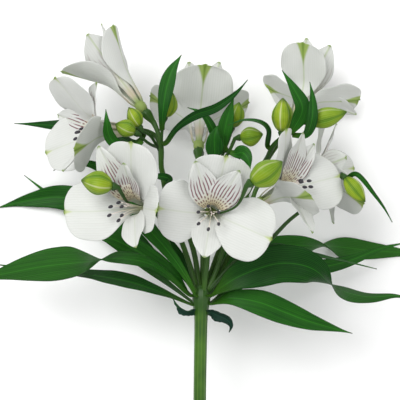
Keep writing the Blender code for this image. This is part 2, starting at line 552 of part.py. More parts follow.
def tepal_grid(flower, tepal, rows, columns, outer):
    """Middle surface of a tepal in place: rows run from its claw to its tip."""
    foot, axis, start, quarter = flower_frame(flower)
    degrees, length, width, flare, curl, sway = tepal
    step_out, lift = (OUTER_WHORL_STEP, 0.0) if outer else (0.0, INNER_WHORL_LIFT)
    table, reach_table, rise_table, lean_table = tepal_profile(length, flare, curl, step_out, lift)
    share = 1.0 - np.linspace(1.0, 0.0, rows + 1)[:, None] ** 1.3
    side = np.linspace(-1.0, 1.0, columns + 1)[None, :]
    if outer:
        place = share + LOBE_LENGTH * outer_crown(share) * smooth_step(0.5, 0.9, share) * np.abs(side) ** 1.5
    else:
        place = share - 0.02 * share ** 3 * side ** 2
    half = width / 2 * (outer_outline(share) if outer else inner_outline(share))
    reach = np.interp(place, table, reach_table)
    rise = np.interp(place, table, rise_table)
    lean = np.interp(place, table, lean_table)
    open_part = FLOWERS[flower][3] * smooth_step(FUNNEL_END, BLADE_START, place)
    bend = (1.0 - open_part) / reach + 1e-6
    offset = half * side
    lateral = np.sin(bend * offset) / bend
    inward = (1.0 - np.cos(bend * offset)) / bend
    cup = -0.05 if outer else 0.14
    ripple = 0.04 * np.sin(9.0 * share + 2.1 * side + math.radians(3 * degrees))
    inward = inward + half * open_part * (cup + ripple) * side ** 2
    angle = np.radians(degrees + sway * smooth_step(FUNNEL_END, 1.0, place))[..., None]
    outward = start * np.cos(angle) + quarter * np.sin(angle)
    tangent = np.cross(axis, outward)
    inner = -np.cos(lean)[..., None] * outward + np.sin(lean)[..., None] * axis
    grid = foot + reach[..., None] * outward + rise[..., None] * axis
    return grid + lateral[..., None] * tangent + inward[..., None] * inner


def make_tepals(flower):
    """The six tepals of a flower, united with its receptacle."""
    foot, axis, _, _ = flower_frame(flower)
    course = [(*(foot + axis * height), radius) for height, radius in RECEPTACLE]
    base = new_object(flower + "_flower_tepals", *loft(course, 9), "tepal_white")
    pieces = []
    for tepals, rows, columns, outer in ((OUTER_TEPALS, OUTER_ROWS, 4, True),
                                         (INNER_TEPALS, INNER_ROWS, 2, False)):
        for tepal in tepals[flower]:
            grid = tepal_grid(flower, tepal, rows, columns, outer)
            lay_on_surface(grid, TEPAL_THICKNESS / 2)
            points, faces = thicken(grid, TEPAL_THICKNESS)
            pieces.append(new_object("tepal", lay_on_surface(points), faces, "tepal_white"))
    return join(base, pieces, "MANIFOLD")


def stamen_course(flower, index):
    """Path of one filament and its anther: x, y, z, radius."""
    foot, axis, start, quarter = flower_frame(flower)
    turn = 2 * math.pi * (index + 0.5) / STAMEN_COUNT
    lean, lean_reach, fan_reach = STAMEN_LEAN[flower]
    lean = math.radians(lean)
    toward = start * math.cos(lean) + quarter * math.sin(lean)
    spread = start * math.cos(turn) + quarter * math.sin(turn)
    reach = 0.0285 + 0.0018 * math.cos(2.4 * index)
    course = []
    for height in (0.0060, 0.0180, reach):
        rise = (height / reach) ** 3
        place = foot + axis * height + spread * (0.0006 + fan_reach * rise) + toward * lean_reach * rise
        course.append((*place, FILAMENT_RADIUS))
    tip = np.array(course[-1][:3])
    way = unit(unit(tip - np.array(course[-2][:3])) + 150 * lean_reach * toward)
    course.append((*(tip + way * ANTHER_LENGTH * 0.3), ANTHER_RADIUS))
    course.append((*(tip + way * ANTHER_LENGTH), ANTHER_RADIUS * 0.7))
    return course


def make_stamens(flower):
    """Six stamens and the style, united at their foot."""
    foot, axis, _, _ = flower_frame(flower)
    course = [(*(foot + axis * height), radius) for height, radius in STAMEN_FOOT]
    base = new_object(flower + "_flower_stamens", *loft(course, 6), "stamen_pale")
    pieces = []
    for index in range(STAMEN_COUNT):
        pieces.append(new_object("stamen", *loft(stamen_course(flower, index), 3), "stamen_pale"))
    style = [(*(foot + axis * height), 0.0004) for height in (0.0062, 0.0150, 0.0230)]
    pieces.append(new_object("style", *loft(style, 3), "stamen_pale"))
    return join(base, pieces)


def with_ovary(path, way, end, length, radius, count):
    """A pedicel as evenly spaced rows, carried on along its flower's axis as the ovary."""
    foot = (*(end - way * length), radius * 0.55)
    rows = curve_through([*path, foot], count).tolist()
    for share, size in ((0.35, 0.95), (0.75, 1.0), (1.0, 0.75)):
        rows.append((*(end - way * length * (1.0 - share)), radius * size))
    return rows


def make_stem():
    """The stem with its rays, pedicels, bud stalks and ovaries, in one body."""
    base = new_object("stem", *loft(curve_through(STEM, 16), 10), "stem_green")
    base.data.vertices.foreach_set("co", lay_on_surface(
        np.array([vertex.co[:] for vertex in base.data.vertices])).ravel())
    pieces = []
    for flower, path in RAYS.items():
        foot, axis, _, _ = flower_frame(flower)
        rows = with_ovary(path, axis, foot, OVARY_LENGTH, OVARY_RADIUS, 8)
        pieces.append(new_object("ray", *loft(rows, 5), "stem_green"))
    for name, path in BUD_STALKS.items():
        foot, tip, radius = BUDS[name]
        way = unit(np.array(tip) - np.array(foot))
        size = radius * BUD_OVARY_SHARE
        rows = with_ovary(path, way, np.array(foot), BUD_OVARY_LENGTH, size, 3 * len(path) - 2)
        pieces.append(new_object("stalk", *loft(rows, 4), "stem_green"))
    return join(base, pieces, "MANIFOLD")


def make_bud(name):
    """A closed bud on its ovary: it swells into three lobes and ends in a point."""
    foot, tip, radius = BUDS[name]
    way = unit(np.array(tip) - np.array(foot))
    start = np.array(foot) + way * BUD_GAP
    length = np.linalg.norm(np.array(tip) - start)
    outline = ((0.0, 0.35), (0.12, 0.68), (0.38, 1.0), (0.62, 0.90), (0.84, 0.50), (1.0, 0.10))
    course = [(*(start + way * length * share), radius * size) for share, size in outline]
    return new_object(name, *loft(course, 9, ribs=3, rib_depth=0.07), "bud_green")


def make_materials():
    """One plain material for each finish."""
    for name, (colour, roughness) in FINISHES.items():
        material = bpy.data.materials.new(name)
        material.use_nodes = True
        shader = material.node_tree.nodes["Principled BSDF"]
        shader.inputs["Base Color"].default_value = (*colour, 1.0)
        shader.inputs["Roughness"].default_value = roughness


def build():
    """The whole stem, placed on the surface."""
    for leftover in list(bpy.data.objects):
        bpy.data.objects.remove(leftover)
    make_materials()
    plant = bpy.data.objects.new("plant", None)
    bpy.context.scene.collection.objects.link(plant)
    plant.location = WHORL_AT
    make_stem()
    for name, leaf in WHORL_LEAVES.items():
        make_leaf(name, leaf, LEAF_ROWS, 0.18, 0.06, "leaf_green")
    for name, leaf in BRACTS.items():
        make_leaf(name, leaf, BRACT_ROWS, 0.25, 0.0, "leaf_green")
    for name, leaf in WITHERED.items():
        make_leaf(name, leaf, BRACT_ROWS, 0.60, 0.0, "withered_green")
    for flower in FLOWERS:
        make_tepals(flower)
        make_stamens(flower)
    for name in BUDS:
        make_bud(name)
    for part in bpy.data.objects:
        if part.type == "MESH":
            part.data.shade_smooth()
            part.data.set_sharp_from_angle(angle=math.radians(50))


build()
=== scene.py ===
"""Looks of a cut stem of white alstroemeria, lying on a pale surface and seen from above.

Metres. The shapes are given round the whorl, where the leaves meet the stem:
+Y runs up the stem and +Z towards the face of the middle flower.
"""

import math

import bpy
import numpy as np
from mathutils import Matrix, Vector


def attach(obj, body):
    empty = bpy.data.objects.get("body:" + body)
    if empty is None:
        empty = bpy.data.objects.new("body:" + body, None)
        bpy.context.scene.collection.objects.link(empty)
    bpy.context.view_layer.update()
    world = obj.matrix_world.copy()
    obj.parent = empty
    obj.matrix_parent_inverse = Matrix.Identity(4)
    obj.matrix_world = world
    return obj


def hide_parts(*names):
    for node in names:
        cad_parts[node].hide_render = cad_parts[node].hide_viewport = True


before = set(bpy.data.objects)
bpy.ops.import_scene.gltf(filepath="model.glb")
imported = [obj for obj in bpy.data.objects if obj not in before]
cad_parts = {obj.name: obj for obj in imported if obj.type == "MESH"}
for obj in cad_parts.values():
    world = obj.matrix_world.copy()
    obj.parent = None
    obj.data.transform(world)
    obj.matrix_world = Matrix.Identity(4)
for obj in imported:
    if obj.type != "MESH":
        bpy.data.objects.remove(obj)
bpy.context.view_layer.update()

# Place of the whorl: beside the part's origin, and above the surface that the stem lies on
WHORL_AT = (-0.0020, 0.0934, 0.0520)
SURFACE = -WHORL_AT[2]

# Blades
LEAF_THICKNESS = 0.00045
LEAF_FOOT_WIDTH = 0.0028
LEAF_TIP_WIDTH = 0.0003
TEPAL_THICKNESS = 0.00034
LEAF_ROWS, LEAF_COLUMNS = 96, 16
BRACT_ROWS, BRACT_COLUMNS = 48, 12
OUTER_ROWS, OUTER_COLUMNS = 52, 36
INNER_ROWS, INNER_COLUMNS = 48, 20

# Flower parts
TEPAL_ROOT_RADIUS = 0.0014
TEPAL_ROOT_HEIGHT = 0.0010
OUTER_WHORL_STEP = 0.0011
INNER_WHORL_LIFT = 0.0012
FUNNEL_LEAN = math.radians(10)
FUNNEL_END = 0.30
BLADE_START = 0.60
OUTER_WIDEST = 0.65
LOBE_LENGTH = 0.05
RECEPTACLE = ((-0.0006, 0.0020), (0.0010, 0.0027), (0.0028, 0.0029), (0.0046, 0.0026), (0.0054, 0.0016))
STAMEN_COUNT = 6
STAMEN_FOOT = 0.0040
STAMEN_REACH = 0.0285
FILAMENT_RADIUS = 0.00032
ANTHER_RADIUS = 0.0009
ANTHER_LENGTH = 0.0026
STYLE_REACH = 0.0230
STYLE_RADIUS = 0.0004
STYLE_ARM = 0.0032
STYLE_ARM_RADIUS = 0.00024

# Ovary below each flower and bud
OVARY_LENGTH = 0.0080
OVARY_RADIUS = 0.0028
BUD_OVARY_LENGTH = 0.0035
BUD_OVARY_SHARE = 0.36

# Ridges round the stem and sides of its outline, and lanes of streaks across half a tepal
STEM_RIDGES, STEM_SIDES = 11, 44
STREAK_LANES = 4.4

# Closed bud: place along it and share of its radius
BUD_PROFILE = ((0.0, 0.33), (0.12, 0.68), (0.38, 1.0), (0.62, 0.90), (0.84, 0.50), (1.0, 0.07))

# Leaf blades: depth of the channel along the middle and of the waves, as shares of the half width
WHORL_CHANNEL, WHORL_WAVE = 0.18, 0.06
BRACT_CHANNEL, BRACT_WAVE = 0.25, 0.02
WITHERED_CHANNEL, WITHERED_WAVE = 0.60, 0.20

# Main stem from its cut end to the swelling: x, y, z, radius
STEM = (
    (-0.002, -0.33, -0.0492, 0.0033),
    (-0.002, -0.29, -0.0425, 0.0033),
    (-0.0015, -0.23, -0.0305, 0.0033),
    (-0.001, -0.16, -0.0165, 0.0033),
    (-0.0008, -0.1, -0.007, 0.0033),
    (-0.0006, -0.05, -0.0015, 0.0033),
    (0.0, -0.012, 0.0, 0.0034),
    (0.0, -0.006, 0.0, 0.004),
    (0.0002, -0.001, 0.0, 0.0048),
    (0.0004, 0.0035, 0.0, 0.0046),
    (0.0005, 0.0065, 0.0, 0.003),
)

# Rays from the whorl, each to the green foot of a flower: x, y, z, radius
RAYS = {
    "middle": (
        (0.0012, 0.002, 0.002, 0.0016), (0.003, 0.018, 0.004, 0.0014),
        (0.0042, 0.032, 0.003, 0.0013),
    ),
    "left": (
        (-0.002, 0.002, 0.0015, 0.0016), (-0.0105, 0.015, 0.003, 0.0014),
        (-0.0175, 0.029, 0.003, 0.0013), (-0.019, 0.038, 0.004, 0.0012),
    ),
    "far_left": (
        (-0.0015, 0.0025, -0.001, 0.0016), (-0.0075, 0.022, -0.0035, 0.0014),
        (-0.0165, 0.047, -0.0045, 0.0013), (-0.0205, 0.066, -0.006, 0.0013),
        (-0.0215, 0.079, -0.009, 0.0012), (-0.0235, 0.085, -0.0105, 0.0012),
    ),
    "upper_left": (
        (-0.0005, 0.0025, -0.002, 0.0016), (-0.004, 0.025, -0.008, 0.0014),
        (-0.013, 0.05, -0.008, 0.0014), (-0.0205, 0.066, -0.004, 0.0014),
        (-0.0205, 0.078, -0.002, 0.0014), (-0.023, 0.088, -0.002, 0.0012),
    ),
    "back": (
        (0.0008, 0.0025, -0.0025, 0.0016), (0.001, 0.025, -0.012, 0.0014),
        (0.0, 0.048, -0.0135, 0.0013), (-0.0014, 0.062, -0.009, 0.0012),
    ),
    "upper_right": (
        (0.0018, 0.0025, -0.0018, 0.0016), (0.011, 0.028, -0.009, 0.0014),
        (0.025, 0.056, -0.012, 0.0014), (0.035, 0.073, -0.011, 0.0016),
        (0.04, 0.08, -0.01, 0.0013),
    ),
    "right": (
        (0.0025, 0.0025, 0.0005, 0.0016), (0.008, 0.014, 0.001, 0.0014),
        (0.012, 0.027, 0.0015, 0.0013), (0.0165, 0.0385, 0.002, 0.0012),
    ),
    "far_right": (
        (0.0025, 0.002, -0.0008, 0.0016), (0.015, 0.023, -0.005, 0.0014),
        (0.025, 0.045, -0.01, 0.0013), (0.029, 0.057, -0.0125, 0.0012),
    ),
}

# Stalks of the buds, from inside the ray that each grows from to short of its ovary
BUD_STALKS = {
    "bud_left_front": (
        (-0.0188, 0.035, 0.0038, 0.0008), (-0.0258, 0.0473, 0.0099, 0.0006),
        (-0.036, 0.0485, 0.0283, 0.0006),
    ),
    "bud_right_front": (
        (0.0043, 0.033, 0.0033, 0.0008), (0.0089, 0.0465, 0.0148, 0.0006),
        (0.0084, 0.0441, 0.0295, 0.0006), (0.018, 0.0478, 0.0415, 0.0006),
    ),
    "bud_top_left": (
        (-0.0205, 0.078, -0.001, 0.0008), (-0.0203, 0.086, 0.001, 0.0008),
    ),
    "bud_left_cluster_a": (
        (-0.0214, 0.078, -0.0088, 0.0008), (-0.0265, 0.08, 0.001, 0.0008),
        (-0.031, 0.0835, 0.0085, 0.0008),
    ),
    "bud_left_cluster_b": (
        (-0.0213, 0.076, -0.0082, 0.0008), (-0.026, 0.084, 0.0, 0.0008),
    ),
    "bud_middle_striped": (
        (0.0, 0.048, -0.0135, 0.0009), (0.007, 0.064, -0.008, 0.0009),
        (0.0145, 0.076, 0.0, 0.0009),
    ),
    "bud_middle_upper": (
        (0.0062, 0.062, -0.009, 0.0008), (0.0135, 0.08, -0.009, 0.0008),
    ),
    "bud_right_round": (
        (0.034, 0.0715, -0.0112, 0.0012), (0.0375, 0.079, -0.004, 0.0013),
    ),
    "bud_right_striped": (
        (0.0385, 0.08, -0.0098, 0.0009), (0.0455, 0.085, -0.005, 0.0009),
    ),
    "bud_far_right": (
        (0.0025, 0.0025, 0.0005, 0.0014), (0.01, 0.011, 0.0015, 0.0013),
        (0.0185, 0.02, 0.003, 0.0012), (0.029, 0.025, 0.004, 0.0012),
        (0.037, 0.031, 0.003, 0.0011), (0.045, 0.04, 0.001, 0.001),
        (0.056, 0.048, 0.0, 0.0009), (0.066, 0.056, -0.0005, 0.0008),
        (0.0728, 0.0605, 0.001, 0.0008),
    ),
}

# Buds: foot, tip and greatest radius
BUDS = {
    "bud_left_front": ((-0.045, 0.058, 0.043), (-0.06, 0.0608, 0.045), 0.006),
    "bud_right_front": ((0.0255, 0.06, 0.051), (0.0405, 0.0702, 0.051), 0.0066),
    "bud_top_left": ((-0.0185, 0.0945, 0.002), (-0.015, 0.107, 0.004), 0.0046),
    "bud_left_cluster_a": ((-0.0345, 0.086, 0.0115), (-0.044, 0.09, 0.014), 0.0045),
    "bud_left_cluster_b": ((-0.032, 0.0895, 0.004), (-0.0375, 0.099, 0.003), 0.004),
    "bud_middle_striped": ((0.021, 0.0835, 0.003), (0.032, 0.085, 0.006), 0.005),
    "bud_middle_upper": ((0.0165, 0.0895, -0.007), (0.02, 0.102, -0.005), 0.0045),
    "bud_right_round": ((0.042, 0.087, 0.0), (0.0425, 0.104, 0.001), 0.0056),
    "bud_right_striped": ((0.056, 0.092, 0.0), (0.0755, 0.0967, 0.004), 0.0052),
    "bud_far_right": ((0.075, 0.062, 0.008), (0.0845, 0.05, 0.012), 0.0042),
}

# Leaves of the whorl: places with the blade's roll from facing +Z, full width, widest place
WHORL_LEAVES = {
    "leaf_left_twisted": (
        ((-0.0046, 0.0005, 0.0038, 80), (-0.009, 0.004, 0.008, 65), (-0.015, 0.01, 0.0105, 55),
         (-0.0265, 0.018, 0.012, 50), (-0.04, 0.0205, 0.011, 62), (-0.0515, 0.02, 0.008, 92),
         (-0.065, 0.0185, 0.004, 145), (-0.0815, 0.0165, -0.002, 172), (-0.1, 0.013, -0.008, 165),
         (-0.119, 0.009, -0.012, 160)),
        0.018, 0.62),
    "leaf_left_low": (
        ((-0.0053, -0.0034, 0.0005, 80), (-0.02, 0.0025, -0.001, 50), (-0.037, 0.008, -0.005, 45),
         (-0.055, 0.011, -0.011, 60), (-0.072, 0.0125, -0.0165, 70), (-0.092, 0.0145, -0.0215, 70),
         (-0.114, 0.0175, -0.025, 60)),
        0.0105, 0.38),
    "leaf_left_behind": (
        ((-0.0056, 0.0008, 0.001, 80), (-0.014, 0.011, 0.001, 20), (-0.026, 0.02, 0.0, -5),
         (-0.038, 0.027, -0.002, 0), (-0.049, 0.0315, -0.005, 10), (-0.06, 0.0325, -0.008, 20)),
        0.012, 0.55),
    "leaf_left_broad": (
        ((-0.0049, 0.0005, -0.003, 80), (-0.02, 0.016, -0.013, 40), (-0.04, 0.034, -0.027, 25),
         (-0.06, 0.0475, -0.041, 12), (-0.076, 0.0525, -0.048, 5), (-0.092, 0.051, -0.05, 0),
         (-0.101, 0.0492, -0.052, 0), (-0.111, 0.0465, -0.052, 0)),
        0.0145, 0.66),
    "leaf_left_thin": (
        ((-0.0033, -0.0034, -0.0042, 80), (-0.022, 0.01, -0.022, 40), (-0.046, 0.028, -0.04, 20),
         (-0.07, 0.0445, -0.052, 0), (-0.085, 0.056, -0.052, 0), (-0.096, 0.0645, -0.052, 0)),
        0.0065, 0.5),
    "leaf_left_rising": (
        ((-0.0026, 0.0005, 0.0052, 80), (-0.0055, 0.007, 0.0075, 40), (-0.0115, 0.017, 0.0075, 10),
         (-0.0195, 0.0275, 0.0065, 0), (-0.0285, 0.0375, 0.0, 0), (-0.04, 0.054, -0.011, 10),
         (-0.052, 0.067, -0.0165, 15), (-0.062, 0.0705, -0.0185, 20), (-0.071, 0.0695, -0.019, 50),
         (-0.078, 0.0665, -0.0195, 80)),
        0.009, 0.5),
    "leaf_back_short": (
        ((-0.003, 0.0005, -0.0049, 80), (-0.008, 0.012, -0.013, 20), (-0.016, 0.027, -0.018, 0),
         (-0.0225, 0.037, -0.021, 0)),
        0.008, 0.5),
    "leaf_right_back": (
        ((0.002, -0.0034, -0.005, -80), (0.008, 0.007, -0.017, -10), (0.016, 0.024, -0.03, 0),
         (0.021, 0.04, -0.042, 0), (0.024, 0.055, -0.0505, 0), (0.026, 0.068, -0.052, 0)),
        0.013, 0.45),
    "leaf_right_low": (
        ((0.0053, -0.0034, 0.0005, -80), (0.016, 0.0, 0.003, -15), (0.03, -0.002, 0.004, 0),
         (0.043, -0.007, 0.003, 5), (0.056, -0.012, 0.001, 8), (0.068, -0.0155, -0.002, 20),
         (0.079, -0.0187, -0.005, 40)),
        0.0135, 0.42),
    "leaf_right_big": (
        ((0.0046, 0.0005, 0.0038, -80), (0.01, 0.005, 0.0075, -40), (0.02, 0.0118, 0.011, -5),
         (0.0375, 0.018, 0.0125, 5), (0.051, 0.0178, 0.011, 10), (0.0605, 0.014, 0.009, 35),
         (0.0665, 0.008, 0.007, 80), (0.075, 0.003, 0.004, 125), (0.088, 0.0003, 0.0, 140),
         (0.101, 0.0012, -0.003, 150), (0.11, -0.001, -0.005, 150)),
        0.02, 0.32),
    "leaf_right_upper": (
        ((0.0048, 0.0005, -0.0031, -80), (0.012, 0.009, -0.011, -20), (0.022, 0.018, -0.017, -5),
         (0.036, 0.0265, -0.023, 0), (0.05, 0.027, -0.03, 15), (0.064, 0.0262, -0.039, 75),
         (0.078, 0.0252, -0.047, 160), (0.092, 0.0235, -0.052, 180), (0.108, 0.0225, -0.052, 180),
         (0.123, 0.0205, -0.052, 180)),
        0.013, 0.62),
    "leaf_right_under": (
        ((0.0044, -0.0034, -0.0032, -80), (0.016, 0.004, -0.012, -20), (0.038, 0.013, -0.024, -10),
         (0.062, 0.015, -0.03, 10), (0.079, 0.0185, -0.0335, 20), (0.096, 0.025, -0.036, 30),
         (0.112, 0.0285, -0.037, 30)),
        0.009, 0.5),
    "leaf_right_thin": (
        ((0.0056, 0.0008, 0.0, -80), (0.014, 0.011, -0.004, -55), (0.024, 0.02, -0.006, -50),
         (0.037, 0.026, -0.0085, -55), (0.052, 0.0235, -0.012, -60), (0.076, 0.0185, -0.017, -65),
         (0.093, 0.0145, -0.02, -60)),
        0.007, 0.35),
}

# Small leaves near the flowers, written like the leaves of the whorl
BRACTS = {
    "bract_top_left": (
        ((-0.0202, 0.092, 0.007, 20), (-0.0195, 0.0985, 0.0105, 10), (-0.018, 0.108, 0.0115, 0),
         (-0.015, 0.1175, 0.012, -10), (-0.01, 0.1258, 0.012, -20)),
        0.0078, 0.6),
    "bract_arching": (
        ((-0.0184, 0.08, 0.001, 30), (-0.013, 0.088, 0.007, 45), (-0.0031, 0.095, 0.01, 40),
         (0.0073, 0.0985, 0.009, 35), (0.0175, 0.1058, 0.007, 30), (0.0242, 0.1132, 0.005, 60)),
        0.0058, 0.5),
    "bract_middle_curled": (
        ((0.0085, 0.078, -0.007, 0), (0.0062, 0.087, 0.0, 20), (0.001, 0.0955, 0.003, 20),
         (-0.007, 0.099, 0.002, 50)),
        0.005, 0.45),
    "bract_middle_front": (
        ((0.0075, 0.073, 0.0, 10), (0.007, 0.079, 0.004, 0), (0.007, 0.084, 0.006, 0),
         (0.0085, 0.0895, 0.0065, 0)),
        0.0095, 0.5),
    "bract_middle_dark": (
        ((0.012, 0.079, -0.003, 0), (0.012, 0.086, 0.001, 10), (0.014, 0.095, 0.003, 10),
         (0.017, 0.104, 0.004, 10)),
        0.008, 0.5),
    "bract_middle_low": (
        ((0.0178, 0.075, 0.002, 0), (0.0215, 0.0755, 0.006, 0), (0.024, 0.0725, 0.008, 0),
         (0.0255, 0.067, 0.008, 0)),
        0.0075, 0.45),
    "bract_arc_right": (
        ((0.0345, 0.079, -0.006, 30), (0.0345, 0.087, 0.005, 50), (0.03, 0.091, 0.0125, 55),
         (0.022, 0.092, 0.014, 60), (0.014, 0.0895, 0.0125, 60)),
        0.0045, 0.4),
    "bract_right_tall": (
        ((0.048, 0.088, 0.001, 0), (0.0525, 0.098, 0.007, 10), (0.048, 0.108, 0.009, 15),
         (0.0418, 0.118, 0.009, 20)),
        0.0085, 0.4),
    "bract_right_narrow": (
        ((0.0545, 0.085, 0.001, 30), (0.0572, 0.093, 0.009, 20), (0.0575, 0.103, 0.0095, 20),
         (0.0562, 0.112, 0.008, 30)),
        0.0062, 0.45),
    "bract_far_left": (
        ((-0.0345, 0.08, -0.006, 20), (-0.054, 0.089, -0.023, 20), (-0.078, 0.0905, -0.027, 20),
         (-0.099, 0.0915, -0.023, 40)),
        0.009, 0.45),
    "bract_left_dark": (
        ((-0.033, 0.079, 0.006, 20), (-0.0425, 0.079, 0.009, 15), (-0.0472, 0.084, 0.013, 0),
         (-0.0482, 0.0905, 0.017, 0), (-0.0488, 0.0975, 0.017, 0)),
        0.006, 0.55),
    "bract_left_front": (
        ((-0.0215, 0.043, 0.002, 10), (-0.027, 0.053, 0.004, 0), (-0.0325, 0.061, 0.006, 0),
         (-0.0385, 0.0685, 0.007, 0)),
        0.008, 0.55),
    "bract_middle_small": (
        ((-0.018, 0.06, -0.002, 0), (-0.0165, 0.0618, 0.003, 0), (-0.0195, 0.063, 0.005, 0),
         (-0.0265, 0.0635, 0.005, 0)),
        0.004, 0.6),
    "bract_far_right": (
        ((0.0795, 0.0648, 0.012, 40), (0.084, 0.061, 0.014, 50), (0.0885, 0.055, 0.0145, 55),
         (0.094, 0.0475, 0.013, 55), (0.0985, 0.0395, 0.011, 60)),
        0.0034, 0.4),
}

# Two withered leaflets below the whorl
WITHERED = {
    "withered_left": (
        ((-0.0044, -0.0068, 0.0022, -20), (-0.008, -0.0065, 0.006, -50), (-0.012, -0.0035, 0.0075, -80),
         (-0.0145, 0.0, 0.007, -110)),
        0.005, 0.55),
    "withered_right": (
        ((0.0044, -0.007, 0.0022, 30), (0.0085, -0.0085, 0.006, 30), (0.013, -0.0105, 0.007, 10),
         (0.0155, -0.014, 0.0065, -20), (0.0146, -0.0175, 0.005, -30)),
        0.0055, 0.45),
}

# Flowers: foot, axis out of the throat, the way that 90 degrees round it points, flatness of the blades
FLOWERS = {
    "middle": ((0.0048, 0.0454, 0.012), (0.03, -0.05, 1.0), (0, 1, 0), 1.0),
    "left": ((-0.0248, 0.0458, 0.014), (-0.49, 0.1, 0.87), (0, 1, 0), 1.0),
    "far_left": ((-0.0356, 0.0868, -0.006), (-0.9, 0.01, 0.43), (0, 1, 0), 1.0),
    "upper_left": ((-0.0298, 0.0978, -0.004), (-0.62, 0.78, -0.07), (0, 0, 1), 0.35),
    "back": ((-0.0012, 0.0777, -0.012), (0.01, 0.73, -0.69), (0, 0, 1), 1.0),
    "upper_right": ((0.0479, 0.092, -0.017), (0.37, 0.66, -0.66), (0, 1, 0), 1.0),
    "right": ((0.0283, 0.0486, 0.008), (0.75, 0.41, 0.51), (0, 1, 0), 1.0),
    "far_right": ((0.0418, 0.0646, -0.014), (0.98, 0.11, -0.18), (0, 1, 0), 1.0),
}

# Tepals: degrees round the axis, length, width, flare, curl of the tip and sideways sway in degrees
OUTER_TEPALS = {
    "middle": ((77, 0.047, 0.033, 60, 10, 0), (180, 0.042, 0.032, 62, 12, -6), (-23, 0.048, 0.033, 68, 8, 0)),
    "left": ((78, 0.049, 0.032, 61, 8, 0), (196, 0.049, 0.031, 64, 8, -8), (-9, 0.045, 0.025, 46, 10, 0)),
    "far_left": ((97, 0.05, 0.037, 44, 8, 0), (206, 0.047, 0.03, 47, 10, 0), (-29, 0.045, 0.031, 42, -14, 0)),
    "upper_left": ((157, 0.045, 0.027, 22, 6, 0), (8, 0.046, 0.034, 36, 0, 0), (270, 0.041, 0.022, 22, 0, 0)),
    "back": ((95, 0.047, 0.033, 68, 10, 0), (185, 0.046, 0.029, 51, 0, 0), (363, 0.046, 0.03, 51, 0, 0)),
    "upper_right": ((101, 0.045, 0.026, 74, 0, 0), (215, 0.045, 0.028, 52, 0, 0),
                    (354, 0.045, 0.026, 62, 0, 0)),
    "right": ((111, 0.046, 0.023, 49, 8, 0), (-1, 0.047, 0.031, 54, 8, 0), (226, 0.04, 0.03, 32, -12, 0)),
    "far_right": ((70, 0.045, 0.024, 73, 8, 0), (-5, 0.046, 0.021, 27, 0, 0), (226, 0.047, 0.028, 52, 0, 0)),
}
INNER_TEPALS = {
    "middle": ((108, 0.046, 0.0155, 62, 10, 0), (59, 0.045, 0.0155, 54, 10, 0),
               (260, 0.036, 0.0175, 62, 15, 0)),
    "left": ((111, 0.051, 0.0155, 61, 8, 0), (76, 0.043, 0.014, 39, 10, 0), (298, 0.043, 0.015, 55, 10, 0)),
    "far_left": ((50, 0.047, 0.015, 75, 10, 0), (161, 0.043, 0.015, 61, 8, 0), (284, 0.046, 0.015, 42, 0, 0)),
    "upper_left": ((95, 0.048, 0.019, 24, 4, 0), (197, 0.049, 0.014, 13, 0, 0),
                   (327, 0.042, 0.015, 26, 0, 0)),
    "back": ((78, 0.048, 0.016, 60, 0, 0), (112, 0.049, 0.016, 55, 0, 0), (270, 0.044, 0.015, 60, 0, 0)),
    "upper_right": ((126, 0.047, 0.016, 61, 0, 0), (97, 0.047, 0.014, 57, 0, 0),
                    (234, 0.048, 0.016, 65, 0, 0)),
    "right": ((82, 0.045, 0.015, 44, 8, 0), (52, 0.043, 0.013, 45, 8, 0), (255, 0.046, 0.015, 75, 0, 0)),
    "far_right": ((63, 0.045, 0.015, 57, 0, 0), (168, 0.04, 0.015, 62, 0, 0), (283, 0.045, 0.015, 80, 0, 0)),
}

# Way that a flower's stamens lean in degrees round its axis, how far they lean and how far they fan out
STAMEN_LEAN = {
    "middle": (225, 0.0022, 0.0048), "left": (225, 0.004, 0.0036), "far_left": (240, 0.0025, 0.0026),
    "upper_left": (90, 0.0, 0.0015), "back": (270, 0.0025, 0.0026), "upper_right": (270, 0.0015, 0.0026),
    "right": (320, 0.003, 0.0024), "far_right": (270, 0.0015, 0.002),
}

# The photograph's frame: width at the whorl, the whorl's place from its middle, and the camera's height
VIEW_WIDTH = 0.208
VIEW_MIDDLE = (-0.00052, 0.05096)
VIEW_HEIGHT = 1.2

# Setting: power of the two lights in watts, strength of the room's light, and the floor
KEY_POWER, FILL_POWER = 30.0, 8.0
ROOM_STRENGTH = 0.62
FLOOR_TONE = 0.96
FLOOR_HALF = 4.0
FLOOR_DROP = 0.0002


def unit(vectors):
    """Vectors of length one."""
    return vectors / np.linalg.norm(vectors, axis=-1, keepdims=True)


def smooth_step(low, high, value):
    """Rise from 0 to 1 between two values, level at both ends."""
    share = np.clip((value - low) / (high - low), 0.0, 1.0)
    return share * share * (3.0 - 2.0 * share)


def bell(value, width):
    """A bell curve round 0, 1 at its top."""
    return np.exp(-(value / width) ** 2)


def curve_through(places, count):
    """Evenly spaced rows of a smooth curve through rows whose first three numbers are a place."""
    knots = np.array(places, dtype=float)
    knots = np.vstack([2 * knots[0] - knots[1], knots, 2 * knots[-1] - knots[-2]])
    fine = []
    for a, b, c, d in zip(knots, knots[1:], knots[2:], knots[3:]):
        for t in np.linspace(0, 1, 20, endpoint=False):
            bend = (2 * a - 5 * b + 4 * c - d) * t * t + (3 * b - a - 3 * c + d) * t ** 3
            fine.append(0.5 * (2 * b + (c - a) * t + bend))
    fine.append(knots[-2])
    fine = np.array(fine)
    steps = np.linalg.norm(np.diff(fine[:, :3], axis=0), axis=1)
    along = np.concatenate([[0.0], np.cumsum(steps)])
    wanted = np.linspace(0.0, along[-1], count)
    return np.column_stack([np.interp(wanted, along, column) for column in fine.T])


def smoothed(rows, rounds=2):
    """Rows with their corners eased, ends kept."""
    rows = np.array(rows)
    for _ in range(rounds):
        rows[1:-1] = (rows[:-2] + 2 * rows[1:-1] + rows[2:]) / 4
    return rows


